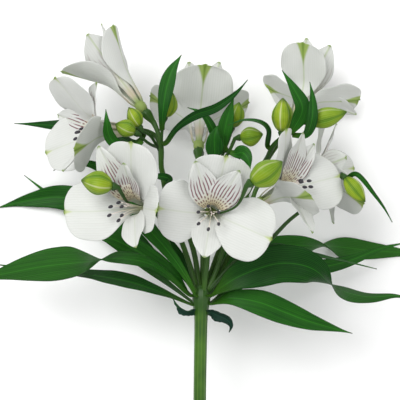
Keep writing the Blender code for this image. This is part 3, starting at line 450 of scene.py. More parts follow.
class Piece:
    """Points, faces and per-point values of one visible object."""

    def __init__(self, *value_names):
        self.points, self.faces, self.count = [], [], 0
        self.values = {name: [] for name in value_names}

    def add(self, points, faces, **values):
        """Append a body; each value is a number or one number for every point."""
        self.faces += [tuple(index + self.count for index in face) for face in faces]
        self.points.append(points)
        self.count += len(points)
        for name, held in self.values.items():
            given = np.asarray(values.get(name, 0.0), dtype=float).ravel()
            held.append(np.broadcast_to(given, (len(points),)))

    def finish(self, name, material, slot, *nodes):
        """The object, in place of its CAD nodes."""
        points = np.concatenate(self.points)
        points[:, 2] = np.maximum(points[:, 2], SURFACE)
        mesh = bpy.data.meshes.new(name)
        mesh.from_pydata((points + WHORL_AT).tolist(), [], self.faces)
        for key, held in self.values.items():
            attribute = mesh.attributes.new(key, "FLOAT", "POINT")
            attribute.data.foreach_set("value", np.concatenate(held).astype(np.float32))
        mesh.materials.append(material)
        mesh.shade_smooth()
        piece = bpy.data.objects.new(name, mesh)
        bpy.context.scene.collection.objects.link(piece)
        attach(piece, "root")
        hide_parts(*nodes)
        return piece


def blade(grid, thickness, flip=False):
    """Points and faces of a thin blade round its middle surface; the first half of the points is the face."""
    rows, columns = grid.shape[:2]
    normal = unit(np.cross(np.gradient(grid, axis=0), np.gradient(grid, axis=1)))
    offset = normal * np.broadcast_to(np.asarray(thickness), (rows, columns))[..., None] / 2
    if flip:
        offset = -offset
    points = np.concatenate([(grid + offset).reshape(-1, 3), (grid - offset).reshape(-1, 3)])
    back = rows * columns
    faces = []
    for i in range(rows - 1):
        for j in range(columns - 1):
            a = i * columns + j
            b, c, d = a + 1, a + columns + 1, a + columns
            faces.append((a, d, c, b))
            faces.append((a + back, b + back, c + back, d + back))
    rim = list(range(columns))
    rim += [i * columns + columns - 1 for i in range(1, rows)]
    rim += [(rows - 1) * columns + j for j in range(columns - 2, -1, -1)]
    rim += [i * columns for i in range(rows - 2, 0, -1)]
    for p, q in zip(rim, rim[1:] + rim[:1]):
        faces.append((p, q, q + back, p + back))
    if flip:
        faces = [face[::-1] for face in faces]
    return points, faces


def both(values):
    """The same values for a blade's face and its back."""
    return np.concatenate([np.ravel(values), np.ravel(values)])


def loft(course, sides, relief=None):
    """Points, faces and values of a round body along rows of x, y, z, radius; relief scales its radius."""
    course = np.array(course, dtype=float)
    spine, radius = course[:, :3], course[:, 3]
    along = unit(np.gradient(spine, axis=0))
    across = unit(np.cross(along[0], (0.31, 0.17, 0.94)))
    turns = 2 * math.pi * np.arange(sides) / sides
    share = np.linspace(0.0, 1.0, len(course))
    points = []
    for place, way, size, part in zip(spine, along, radius, share):
        across = unit(across - way * np.dot(across, way))
        third = np.cross(way, across)
        ring = size * (relief(turns, part) if relief else np.ones(sides))
        outward = np.cos(turns)[:, None] * across + np.sin(turns)[:, None] * third
        points.append(place + ring[:, None] * outward)
    faces = []
    for i in range(len(course) - 1):
        for j in range(sides):
            a, b = i * sides + j, i * sides + (j + 1) % sides
            faces.append((a, b, b + sides, a + sides))
    faces.append(tuple(range(sides - 1, -1, -1)))
    last = (len(course) - 1) * sides
    faces.append(tuple(range(last, last + sides)))
    values = {"along": np.repeat(share, sides), "turn": np.tile(turns, len(course))}
    return np.concatenate(points), faces, values


# Materials


class Tree:
    """A material's nodes, with short calls for what the finishes share."""

    def __init__(self, name):
        self.material = bpy.data.materials.new(name)
        self.material.use_nodes = True
        self.nodes = self.material.node_tree.nodes
        self.links = self.material.node_tree.links
        self.shader = self.nodes["Principled BSDF"]

    def put(self, socket, value):
        """A link or a plain value into a socket."""
        if isinstance(value, bpy.types.NodeSocket):
            self.links.new(value, socket)
        else:
            socket.default_value = value

    def read(self, *names):
        """Per-point values of the mesh."""
        values = []
        for name in names:
            node = self.nodes.new("ShaderNodeAttribute")
            node.attribute_name = name
            values.append(node.outputs["Fac"])
        return values

    def math(self, operation, first, second=0.0):
        """One sum with two values."""
        node = self.nodes.new("ShaderNodeMath")
        node.operation = operation
        self.put(node.inputs[0], first)
        self.put(node.inputs[1], second)
        return node.outputs[0]

    def product(self, first, *factors):
        """All factors multiplied."""
        for factor in factors:
            first = self.math("MULTIPLY", first, factor)
        return first

    def total(self, first, *parts):
        """All parts added."""
        for part in parts:
            first = self.math("ADD", first, part)
        return first

    def span(self, value, low, high, start=0.0, end=1.0):
        """A value's rise from start to end between low and high, level at both ends."""
        node = self.nodes.new("ShaderNodeMapRange")
        node.interpolation_type = "SMOOTHSTEP"
        self.put(node.inputs["Value"], value)
        for key, number in (("From Min", low), ("From Max", high), ("To Min", start), ("To Max", end)):
            node.inputs[key].default_value = number
        return node.outputs["Result"]

    def fall(self, value, low, high):
        """A value's fall from 1 to 0 between low and high."""
        return self.span(value, low, high, 1.0, 0.0)

    def mix(self, factor, first, second):
        """A colour between two."""
        node = self.nodes.new("ShaderNodeMix")
        node.data_type = "RGBA"
        self.put(node.inputs["Factor"], factor)
        self.put(node.inputs["A"], self.colour(first))
        self.put(node.inputs["B"], self.colour(second))
        return node.outputs["Result"]

    def layered(self, base, *layers):
        """Colours laid over a base one after another, each by its own share."""
        for share, colour in layers:
            base = self.mix(share, base, colour)
        return base

    def colour(self, value):
        """A linear colour with its alpha, or a link as it is."""
        return value if isinstance(value, bpy.types.NodeSocket) else (*value, 1.0)

    def vector(self, x, y, z):
        """A place made of three values."""
        node = self.nodes.new("ShaderNodeCombineXYZ")
        for socket, value in zip(node.inputs, (x, y, z)):
            self.put(socket, value)
        return node.outputs[0]

    def place(self):
        """The point's own place in metres."""
        return self.nodes.new("ShaderNodeTexCoord").outputs["Object"]

    def noise(self, vector, scale, detail=2.0):
        """Clouds between 0 and 1."""
        node = self.nodes.new("ShaderNodeTexNoise")
        self.put(node.inputs["Vector"], vector)
        node.inputs["Scale"].default_value = scale
        node.inputs["Detail"].default_value = detail
        return node.outputs["Fac"]

    def lines(self, value, spacing, width):
        """Thin lines at an even spacing, 1 on the line."""
        wave = self.math("PINGPONG", self.math("ADD", value, 1000 * spacing), spacing / 2)
        return self.fall(wave, 0.0, width)

    def bump(self, height, distance):
        """Low relief of a given height in metres."""
        node = self.nodes.new("ShaderNodeBump")
        node.inputs["Distance"].default_value = distance
        self.put(node.inputs["Height"], height)
        self.links.new(node.outputs["Normal"], self.shader.inputs["Normal"])

    def finish(self, colour, roughness, specular, sheer=0.0):
        """Set the shader, and let a share of the light through the sheet."""
        self.put(self.shader.inputs["Base Color"], self.colour(colour))
        self.put(self.shader.inputs["Roughness"], roughness)
        self.shader.inputs["Specular IOR Level"].default_value = specular
        if sheer:
            through = self.nodes.new("ShaderNodeBsdfTranslucent")
            self.put(through.inputs["Color"], self.colour(colour))
            blend = self.nodes.new("ShaderNodeMixShader")
            blend.inputs["Fac"].default_value = sheer
            self.links.new(self.shader.outputs[0], blend.inputs[1])
            self.links.new(through.outputs[0], blend.inputs[2])
            self.links.new(blend.outputs[0], self.nodes["Material Output"].inputs["Surface"])
        return self.material


def petal_material():
    """White petals with green tips; the two upper inner ones are streaked."""
    tree = Tree("petal_white")
    along, offset, face, kind, depth = tree.read("along", "offset", "face", "kind", "depth")
    aside = tree.math("ABSOLUTE", offset)
    back = tree.math("SUBTRACT", 1.0, face)
    outer = tree.fall(kind, 0.2, 0.6)
    upper_inner = tree.product(tree.span(kind, 0.6, 0.9), tree.fall(kind, 1.1, 1.4))
    streaked = tree.product(upper_inner, tree.span(face, 0.0, 1.0, 0.2, 1.0))
    cloud = tree.noise(tree.place(), 60.0)
    veins = tree.lines(offset, 1.25, 0.20)
    foot = tree.fall(along, 0.10, 0.44)
    rib = tree.product(tree.fall(aside, 0.0, 0.9), tree.total(0.16, tree.product(back, 0.34)))
    front_mark = tree.product(tip_mark(tree, depth, aside, 4.5, 1.9), outer, face)
    back_mark = tree.product(tip_mark(tree, depth, aside, 15.0, 4.2), outer, back)
    back_line = tree.product(tip_mark(tree, depth, aside, 15.0, 1.0), outer, back)
    point = tree.product(tree.span(depth, 0.0, 1.5, 0.85, 0.0), tree.fall(aside, 0.6, 1.6))
    glow = tree.product(tree.span(along, 0.26, 0.38), tree.fall(along, 0.42, 0.62), streaked)
    blush = tree.product(tree.span(along, 0.06, 0.16), tree.fall(along, 0.16, 0.34), back)
    colour = tree.layered(
        tree.mix(cloud, (0.67, 0.685, 0.655), (0.76, 0.77, 0.745)),
        (tree.product(veins, 0.22), (0.52, 0.57, 0.48)),
        (tree.product(foot, 0.50), (0.50, 0.58, 0.34)),
        (rib, (0.42, 0.52, 0.24)),
        (tree.product(front_mark, 0.75), (0.50, 0.60, 0.16)),
        (tree.product(back_mark, 0.90), (0.30, 0.43, 0.055)),
        (tree.product(back_line, 0.65), (0.09, 0.20, 0.015)),
        (point, (0.20, 0.32, 0.04)),
        (tree.product(glow, 0.60), (0.74, 0.62, 0.30)),
        (tree.product(streaks(tree, along), streaked), (0.17, 0.025, 0.05)),
        (tree.product(dashes(tree, along), streaked), (0.15, 0.035, 0.035)),
        (tree.product(blush, 0.35), (0.66, 0.36, 0.26)),
        (tree.span(along, 0.04, 0.17, 0.85, 0.0), (0.22, 0.32, 0.04)))
    tree.bump(tree.total(veins, tree.product(cloud, 2.0)), 0.00006)
    return tree.finish(colour, 0.55, specular=0.35, sheer=0.20)


def tip_mark(tree, depth, aside, length, width):
    """A wedge at a tepal's tip that narrows to a line, by distances in millimetres."""
    left = tree.math("MAXIMUM", tree.math("SUBTRACT", 1.0, tree.math("DIVIDE", depth, length)), 0.0)
    edge = tree.math("SUBTRACT", tree.product(left, left, width), aside)
    return tree.product(tree.span(edge, -0.70, 0.90), tree.span(left, 0.0, 0.5))


def lanes(tree):
    """Place in a lane that fans out along a tepal, 0 on its line, and a chance number for each lane."""
    across, tint = tree.read("across", "tint")
    lane = tree.total(tree.product(across, STREAK_LANES), tree.product(tree.noise(tree.place(), 130.0), 0.7))
    index = tree.math("ROUND", lane)
    chance = tree.nodes.new("ShaderNodeTexWhiteNoise")
    chance.noise_dimensions = "1D"
    tree.put(chance.inputs["W"], tree.total(index, tree.product(tint, 37.0)))
    beside = tree.math("ABSOLUTE", tree.math("SUBTRACT", lane, index))
    return beside, chance.outputs["Value"]


def streaks(tree, along):
    """One long line in every lane of a tepal's blade."""
    beside, chance = lanes(tree)
    start = tree.math("SUBTRACT", along, tree.total(0.50, tree.product(chance, 0.12)))
    end = tree.math("SUBTRACT", along, tree.total(0.70, tree.product(chance, 0.16)))
    line = tree.fall(beside, 0.10, 0.24)
    return tree.product(line, tree.span(start, -0.01, 0.03), tree.fall(end, -0.05, 0.02), 0.90)


def dashes(tree, along):
    """Short marks in every lane nearer the throat."""
    beside, chance = lanes(tree)
    phase = tree.math("FRACT", tree.total(tree.product(along, 17.0), tree.product(chance, 7.0)))
    mark = tree.product(tree.span(phase, 0.05, 0.18), tree.fall(phase, 0.58, 0.72))
    line = tree.fall(beside, 0.14, 0.30)
    reach = tree.product(tree.span(along, 0.30, 0.36), tree.fall(along, 0.56, 0.66))
    return tree.product(line, mark, reach, 0.90)


def shade(colour, factor):
    """A colour made lighter or darker."""
    return tuple(factor * part for part in colour)


def leaf_material(name, light, dark, roughness):
    """Green blades: parallel veins, a paler rib and back, and cloudy changes of tone."""
    tree = Tree(name)
    along, across, offset, face, tint = tree.read("along", "across", "offset", "face", "tint")
    cloud = tree.noise(tree.place(), 45.0, 3.0)
    grain = tree.noise(tree.vector(tree.product(offset, 1.6), tree.product(along, 2.5), tint), 1.0)
    own_tone = tree.product(tree.math("SUBTRACT", tint, 0.5), 0.5)
    tone = tree.total(tree.product(cloud, 0.5), tree.product(grain, 0.7), own_tone)
    veins = tree.lines(offset, 0.95, 0.16)
    rib = tree.fall(tree.math("ABSOLUTE", offset), 0.10, 0.50)
    foot = tree.span(along, 0.0, 0.22, 0.55, 0.0)
    back = tree.span(face, 0.0, 1.0, 0.30, 0.0)
    edge = tree.span(tree.math("ABSOLUTE", across), 0.93, 1.0, 0.0, 0.4)
    dry_tip = tree.span(along, 0.965, 1.0, 0.0, 0.7)
    green = tree.layered(
        tree.mix(tree.span(tone, 0.25, 0.95), dark, light),
        (tree.product(veins, 0.22), shade(light, 1.7)),
        (tree.product(rib, 0.35), shade(light, 2.0)),
        (foot, (0.06, 0.14, 0.008)),
        (back, (0.036, 0.130, 0.020)),
        (edge, shade(dark, 0.5)),
        (dry_tip, (0.05, 0.035, 0.02)))
    tree.bump(tree.total(veins, tree.product(cloud, 0.8)), 0.00012)
    return tree.finish(green, roughness, specular=0.15, sheer=0.10)


def stem_material():
    """Waxy green, with lighter ridges and a pale cut end."""
    tree = Tree("stem_green")
    turn, tint, cut = tree.read("turn", "tint", "cut")
    ridges = tree.lines(turn, 2 * math.pi / STEM_RIDGES, 0.16)
    cloud = tree.noise(tree.place(), 70.0, 3.0)
    green = tree.layered(
        tree.mix(tree.span(cloud, 0.3, 0.7), (0.020, 0.074, 0.004), (0.045, 0.135, 0.006)),
        (tree.product(ridges, 0.35), (0.115, 0.225, 0.020)),
        (tree.span(tint, 0.0, 1.0, 0.0, 0.85), (0.016, 0.060, 0.007)),
        (cut, (0.42, 0.50, 0.26)))
    tree.bump(tree.total(ridges, cloud), 0.00010)
    return tree.finish(green, 0.42, specular=0.30)


def bud_material():
    """Yellow-green buds with darker stripes and a dark tip."""
    tree = Tree("bud_green")
    along, turn, tint = tree.read("along", "turn", "tint")
    cloud = tree.noise(tree.place(), 120.0, 3.0)
    lobe = tree.math("PINGPONG", tree.total(turn, math.pi / 3), math.pi / 3)
    veins = tree.lines(turn, 2 * math.pi / 30, 0.05)
    seam = tree.span(lobe, math.pi / 3 - 0.14, math.pi / 3, 0.0, 0.7)
    green = tree.layered(
        tree.mix(tree.span(cloud, 0.3, 0.7), (0.16, 0.28, 0.006), (0.28, 0.38, 0.012)),
        (tree.product(tree.fall(lobe, 0.0, 0.42), 0.85), (0.055, 0.17, 0.004)),
        (tree.product(veins, 0.35), (0.42, 0.50, 0.10)),
        (seam, (0.60, 0.62, 0.34)),
        (tree.span(along, 0.80, 1.0, 0.0, 0.85), (0.03, 0.09, 0.008)),
        (tree.span(along, 0.0, 0.12, 0.6, 0.0), (0.07, 0.16, 0.01)),
        (tree.span(tint, 0.4, 1.0, 0.0, 0.4), (0.10, 0.22, 0.012)))
    tree.bump(tree.total(veins, cloud), 0.00010)
    return tree.finish(green, 0.45, specular=0.22, sheer=0.05)


def stamen_material():
    """Pale filaments with dark grey anthers."""
    tree = Tree("stamen_dark")
    along, anther = tree.read("along", "anther")
    cloud = tree.noise(tree.place(), 900.0, 3.0)
    dark = tree.mix(cloud, (0.018, 0.018, 0.022), (0.075, 0.07, 0.08))
    pale = tree.mix(along, (0.42, 0.50, 0.22), (0.74, 0.66, 0.62))
    tree.bump(tree.product(cloud, anther), 0.00025)
    return tree.finish(tree.mix(tree.span(anther, 0.4, 0.6), pale, dark), 0.75, specular=0.25)


# Shapes


def leaf_outline(share, widest, stalk, tip):
    """Width of a lance-shaped leaf along its length, 1 at its widest."""
    rise = np.clip(share / widest, 0.0, 1.0)
    fall = np.clip((1.0 - share) / (1.0 - widest), 0.0, 1.0)
    swell = stalk + (1.0 - stalk) * np.sin(rise * math.pi / 2) ** 2
    taper = tip + (1.0 - tip) * np.sin(fall * math.pi / 2) ** 1.3
    return swell * taper


def leaf_grid(path, width, widest, rows, columns, channel, wave, phase):
    """Middle surface of a leaf along a smooth path, turned by its roll, and its half width."""
    course = smoothed(curve_through(path, rows + 1), 6)
    spine, roll = course[:, :3], np.radians(course[:, 3])[:, None]
    along = unit(np.gradient(spine, axis=0))
    upward = unit(np.array([0.0, 0.0, 1.0]) - along * along[:, 2:3])
    sideways = np.cross(along, upward)
    face = upward * np.cos(roll) + sideways * np.sin(roll)
    across = np.cross(along, face)
    share = np.linspace(0.0, 1.0, rows + 1)[:, None]
    side = np.linspace(-1.0, 1.0, columns + 1)[None, :]
    half = width / 2 * leaf_outline(share, widest, LEAF_FOOT_WIDTH / width, LEAF_TIP_WIDTH / width)
    ripple = wave * np.sin(2 * math.pi * 2.5 * share + 1.3 * np.sign(side)) * np.abs(side) ** 1.5
    frill = 0.35 * wave * np.sin(2 * math.pi * 8.5 * share + phase + 2.0 * side) * side ** 2
    lift = half * (channel * np.abs(side) ** 1.3 + ripple + frill)
    grid = spine[:, None] + across[:, None] * (half * side)[..., None] + face[:, None] * lift[..., None]
    return grid, half * side, share + 0 * side, side + 0 * share


def make_leaf(name, leaf, rows, columns, channel, wave, material, slot, rng):
    """One leaf, rooted in what carries it."""
    path, width, widest = leaf
    grid, offset, along, across = leaf_grid(rooted(path), width, widest, rows, columns, channel, wave,
                                            rng.uniform(0, 6))
    grid[..., 2] = np.maximum(grid[..., 2], SURFACE + LEAF_THICKNESS)
    thickness = LEAF_THICKNESS * (1.0 - 0.6 * np.abs(across) ** 4)
    thickness = thickness * (1.0 + 1.5 * smooth_step(0.25, 0.0, along))
    points, faces = blade(grid, thickness, flip=True)
    count = grid.shape[0] * grid.shape[1]
    piece = Piece("along", "across", "offset", "face", "tint")
    piece.add(points, faces, along=both(along), across=both(across), offset=both(1000 * offset),
              face=np.repeat([1.0, 0.0], count), tint=rng.uniform())
    return piece.finish(name + "_blade", material, slot, name)


def rooted(path):
    """A leaf's path carried back into the stem or ray nearest to its foot."""
    foot = np.array(path[0][:3])
    nearest = GREEN_LINES[np.argmin(np.linalg.norm(GREEN_LINES - foot, axis=1))]
    start = foot + (nearest - foot) * 0.75
    return [(*start, path[0][3]), *path]


def flower_frame(name):
    """Foot of a flower, its axis, and the ways at 0 and 90 degrees round it."""
    foot, axis, upright = (np.array(value, dtype=float) for value in FLOWERS[name][:3])
    axis = unit(axis)
    start = unit(np.cross(upright, axis))
    return foot, axis, start, np.cross(axis, start)


def tepal_profile(length, flare, curl, step_out, lift):
    """Distance from the axis, height and lean of a tepal along its length and a little past it."""
    share = np.linspace(0.0, 1.1, 89)
    lean = FUNNEL_LEAN + (math.radians(flare) - FUNNEL_LEAN) * smooth_step(FUNNEL_END, BLADE_START, share)
    lean = lean + math.radians(curl) * np.clip((share - BLADE_START) / (1 - BLADE_START), 0, 1) ** 2
    reach = length * np.concatenate([[0.0], np.cumsum((np.sin(lean[1:]) + np.sin(lean[:-1])) / 160)])
    rise = length * np.concatenate([[0.0], np.cumsum((np.cos(lean[1:]) + np.cos(lean[:-1])) / 160)])
    reach = reach + TEPAL_ROOT_RADIUS + step_out * smooth_step(0.0, 0.15, share)
    return share, reach, rise + TEPAL_ROOT_HEIGHT + lift, lean


def outer_crown(share):
    """Rounding of an outer tepal towards its tip, 1 up to its widest place."""
    past = np.clip((share - OUTER_WIDEST) / (1.0 - OUTER_WIDEST), 0.0, 1.0)
    return (1.0 - 0.993 * past ** 2.4) ** 0.5


def outer_outline(share):
    """Width of a broad outer tepal along its length: a narrow claw and a blunt blade."""
    claw = 0.05 + 0.08 * smooth_step(0.0, 0.25, share)
    blade_part = smooth_step(0.22, 0.70, share)
    return (claw + (1 - claw) * blade_part) * outer_crown(share)


def inner_outline(share):
    """Width of a narrow inner tepal along its length: it ends in a point."""
    claw = 0.11 + 0.11 * smooth_step(0.0, 0.25, share)
    blade_part = smooth_step(0.24, 0.66, share)
    crown = np.cos(np.clip((share - 0.66) / 0.36, 0, 1) * math.pi / 2) ** 0.8
    return (claw + (1 - claw) * blade_part) * np.maximum(crown, 0.02)


def tepal_surface(flower, tepal, rows, columns, outer, rng):
    """Middle surface of a tepal in place, with the values that its finish reads."""
    foot, axis, start, quarter = flower_frame(flower)
    degrees, length, width, flare, curl, sway = tepal
    step_out, lift = (OUTER_WHORL_STEP, 0.0) if outer else (0.0, INNER_WHORL_LIFT)
    table, reach_table, rise_table, lean_table = tepal_profile(length, flare, curl, step_out, lift)
    share = 1.0 - np.linspace(1.0, 0.0, rows + 1)[:, None] ** 1.3
    side = np.linspace(-1.0, 1.0, columns + 1)[None, :]
    if outer:
        place = share + LOBE_LENGTH * outer_crown(share) * smooth_step(0.5, 0.9, share) * np.abs(side) ** 1.5
        place = place + 0.022 * smooth_step(0.94, 1.0, share) * bell(side, 0.5)
    else:
        place = share - 0.02 * share ** 3 * side ** 2
    half = width / 2 * (outer_outline(share) if outer else inner_outline(share))
    half = half * (1.0 + 0.02 * np.sin(17 * share + rng.uniform(0, 6)) * smooth_step(0.5, 0.8, share))
    reach = np.interp(place, table, reach_table)
    rise = np.interp(place, table, rise_table)
    lean = np.interp(place, table, lean_table)
    open_part = FLOWERS[flower][3] * smooth_step(FUNNEL_END, BLADE_START, place)
    bend = (1.0 - open_part) / reach + 1e-6
    offset = half * side
    lateral = np.sin(bend * offset) / bend
    inward = (1.0 - np.cos(bend * offset)) / bend
    inward = inward + open_part * petal_relief(share, side, half, degrees, outer, rng)
    angle = np.radians(degrees + sway * smooth_step(FUNNEL_END, 1.0, place))[..., None]
    outward = start * np.cos(angle) + quarter * np.sin(angle)
    tangent = np.cross(axis, outward)
    inner = -np.cos(lean)[..., None] * outward + np.sin(lean)[..., None] * axis
    grid = foot + reach[..., None] * outward + rise[..., None] * axis
    grid = grid + lateral[..., None] * tangent + inward[..., None] * inner
    depth = 1000 * length * (1.0 - share) + 0 * side
    along, across = share + 0 * side, side + 0 * share
    return grid, {"along": along, "across": across, "offset": 1000 * offset, "depth": depth}


def petal_relief(share, side, half, degrees, outer, rng):
    """Rise of a tepal's inner face from a flat sheet: cup, folded rib, broad ripples and a frilled edge."""
    cup = -0.05 if outer else 0.14
    ripple = 0.04 * np.sin(9.0 * share + 2.1 * side + math.radians(3 * degrees))
    broad = half * (cup + ripple) * side ** 2
    fold = -0.00050 * bell(side, 0.16) * smooth_step(0.45, 0.95, share)
    waves = rng.uniform(0, 6, 3)
    frill = 0.00042 * np.sin(23 * share + waves[0] + 1.5 * np.sign(side)) * np.abs(side) ** 4
    swell = 0.00035 * np.sin(7 * share + waves[1]) * np.sin(3.2 * side + waves[2])
    veins = 0.00004 * np.cos(2 * math.pi * side * (5 if outer else 3))
    return broad + fold + frill + swell + veins


def make_tepals(flower, material, rng):
    """The six tepals of a flower and its receptacle."""
    foot, axis, _, _ = flower_frame(flower)
    piece = Piece("along", "across", "offset", "depth", "face", "kind", "tint")
    for tepals, rows, columns, outer in ((OUTER_TEPALS, OUTER_ROWS, OUTER_COLUMNS, True),
                                         (INNER_TEPALS, INNER_ROWS, INNER_COLUMNS, False)):
        for order, tepal in enumerate(tepals[flower]):
            grid, values = tepal_surface(flower, tepal, rows, columns, outer, rng)
            grid[..., 2] = np.maximum(grid[..., 2], SURFACE + TEPAL_THICKNESS)
            thickness = TEPAL_THICKNESS * (1.0 - 0.6 * np.abs(values["across"]) ** 4)
            thickness = thickness * (1.0 + 1.2 * smooth_step(0.4, 0.0, values["along"]))
            points, faces = blade(grid, thickness)
            kind = 0.0 if outer else (1.0 if order < 2 else 2.0)
            piece.add(points, faces, face=np.repeat([1.0, 0.0], grid.shape[0] * grid.shape[1]), kind=kind,
                      tint=rng.uniform(), **{key: both(value) for key, value in values.items()})
    course = [(*(foot + axis * height), radius) for height, radius in RECEPTACLE]
    points, faces, _ = loft(course, 24)
    piece.add(points, faces, along=0.0, depth=40.0, offset=0.4)
    return piece.finish(flower + "_flower_petals", material, "tepal_white", flower + "_flower_tepals")


def stamen_course(flower, index):
    """Path of one filament to its anther, and the way that the anther points."""
    foot, axis, start, quarter = flower_frame(flower)
    turn = 2 * math.pi * (index + 0.5) / STAMEN_COUNT
    lean, lean_reach, fan_reach = STAMEN_LEAN[flower]
    lean = math.radians(lean)
    toward = start * math.cos(lean) + quarter * math.sin(lean)
    spread = start * math.cos(turn) + quarter * math.sin(turn)
    reach = STAMEN_REACH + 0.0018 * math.cos(2.4 * index)
    course = []
    for height in np.linspace(STAMEN_FOOT, reach, 14):
        rise = (height / reach) ** 3
        place = foot + axis * height + spread * (0.0006 + fan_reach * rise) + toward * lean_reach * rise
        course.append((*place, FILAMENT_RADIUS * (1.25 - 0.5 * height / reach)))
    tip = np.array(course[-1][:3])
    way = unit(unit(tip - np.array(course[-2][:3])) + 150 * lean_reach * toward)
    return course, tip, way


def make_stamens(flower, material):
    """Six stamens and the style with its three short arms."""
    foot, axis, start, quarter = flower_frame(flower)
    piece = Piece("along", "anther")
    for index in range(STAMEN_COUNT):
        course, tip, way = stamen_course(flower, index)
        points, faces, values = loft(course, 8)
        piece.add(points, faces, along=values["along"])
        share = np.linspace(0.0, 1.0, 14)
        swell = np.sqrt(np.clip(1.0 - (2 * share - 1.0) ** 2, 0.02, 1.0)) * (1.0 - 0.18 * share)
        anther = [(*(tip + way * ANTHER_LENGTH * part), ANTHER_RADIUS * size)
                  for part, size in zip(share, swell)]
        points, faces, _ = loft(anther, 16, lambda turns, _: 0.86 + 0.14 * np.abs(np.cos(turns)))
        piece.add(points, faces, along=1.0, anther=1.0)
    style = [(*(foot + axis * height), STYLE_RADIUS) for height in np.linspace(STAMEN_FOOT, STYLE_REACH, 10)]
    points, faces, values = loft(style, 8)
    piece.add(points, faces, along=values["along"])
    for index in range(3):
        turn = 2 * math.pi * index / 3
        spread = start * math.cos(turn) + quarter * math.sin(turn)
        arm = [(*(foot + axis * (STYLE_REACH - 0.0002 + rise) + spread * 6.0 * rise ** 1.5), STYLE_ARM_RADIUS)
               for rise in np.linspace(0.0, STYLE_ARM, 6)]
        points, faces, _ = loft(arm, 6)
        piece.add(points, faces, along=1.0)
    return piece.finish(flower + "_flower_anthers", material, "stamen_dark", flower + "_flower_stamens")


def with_ovary(path, way, end, length, radius, count):
    """A pedicel as evenly spaced rows, carried on along its flower's axis as the ovary."""
    foot = (*(end - way * length), radius * 0.55)
    rows = smoothed(curve_through([*path, foot], count), 3).tolist()
    for share in np.linspace(0.08, 1.0, 12):
        swell = 0.45 * math.sin(math.pi * min(share * 1.25, 1.0) / 2) ** 1.5
        neck = 0.28 * max(share - 0.75, 0) * 4
        rows.append((*(end - way * length * (1.0 - share)), radius * (0.55 + swell - neck)))
    return rows


def ribs(depth, start):
    """Relief of a pedicel: nearly smooth, then with the six ribs of its ovary."""
    return lambda turns, share: 1.0 + (depth if share > start else 0.02) * np.cos(6 * turns)


def make_stem(material):
    """The stem with its rays, pedicels, bud stalks and ribbed ovaries."""
    piece = Piece("along", "turn", "tint", "cut")
    rows = smoothed(curve_through(STEM, 150), 2)
    points, faces, values = loft(rows, STEM_SIDES, lambda turns, _: 1.0 + 0.012 * np.cos(STEM_RIDGES * turns))
    cut = (np.arange(len(points)) < STEM_SIDES).astype(float)
    swelling = smooth_step(-0.014, -0.002, points[:, 1])
    piece.add(points, faces, tint=swelling, cut=cut, **values)
    for flower, path in RAYS.items():
        foot, axis, _, _ = flower_frame(flower)
        rows = with_ovary(path, axis, foot, OVARY_LENGTH, OVARY_RADIUS, 46)
        points, faces, values = loft(rows, 24, ribs(0.09, 0.80))
        piece.add(points, faces, tint=0.45 + 0.4 * smooth_step(0.75, 0.95, values["along"]), **values)
    for name, path in BUD_STALKS.items():
        foot, tip, radius = BUDS[name]
        way = unit(np.array(tip) - np.array(foot))
        rows = with_ovary(path, way, np.array(foot), BUD_OVARY_LENGTH, radius * BUD_OVARY_SHARE, 28)
        points, faces, values = loft(rows, 14, ribs(0.08, 0.7))
        piece.add(points, faces, tint=0.85, **values)
    return piece.finish("stem_and_rays", material, "stem_green", "stem")


def bud_relief(turns, share):
    """Three overlapping tepals of a closed bud: lobes, seams between them and a rib down each."""
    middle = math.sin(math.pi * min(max(share, 0.0), 1.0)) ** 0.5
    seam = np.abs(np.mod(turns + math.pi / 3, 2 * math.pi / 3) - math.pi / 3)
    groove = -0.07 * bell(seam - math.pi / 3, 0.10)
    rib = 0.025 * bell(seam, 0.10)
    return 1.0 + 0.07 * np.cos(3 * turns) + middle * (groove + rib)


def make_bud(name, material, rng):
    """A closed bud on its ovary: it swells and ends in a point."""
    foot, tip, radius = BUDS[name]
    way = unit(np.array(tip) - np.array(foot))
    start = np.array(foot) - way * 0.0003
    length = np.linalg.norm(np.array(tip) - start)
    share = np.linspace(0.0, 1.0, 40)
    profile = curve_through([(where, size, 0.0) for where, size in BUD_PROFILE], 80)
    sizes = np.interp(share, profile[:, 0], profile[:, 1])
    course = [(*(start + way * length * where), radius * size) for where, size in zip(share, sizes)]
    points, faces, values = loft(course, 54, bud_relief)
    piece = Piece("along", "turn", "tint")
    piece.add(points, faces, tint=rng.uniform(), **values)
    return piece.finish(name + "_tepals", material, "bud_green", name)


def green_lines():
    """Middle lines of the stem, rays and stalks, as a row of places."""
    lines = [curve_through(STEM, 120)[:, :3]]
    for flower, path in RAYS.items():
        foot, axis, _, _ = flower_frame(flower)
        lines.append(curve_through([*path, (*(foot - axis * OVARY_LENGTH), 0.0015)], 80)[:, :3])
    for path in BUD_STALKS.values():
        lines.append(curve_through(path, 40)[:, :3])
    return np.concatenate(lines)


GREEN_LINES = green_lines()


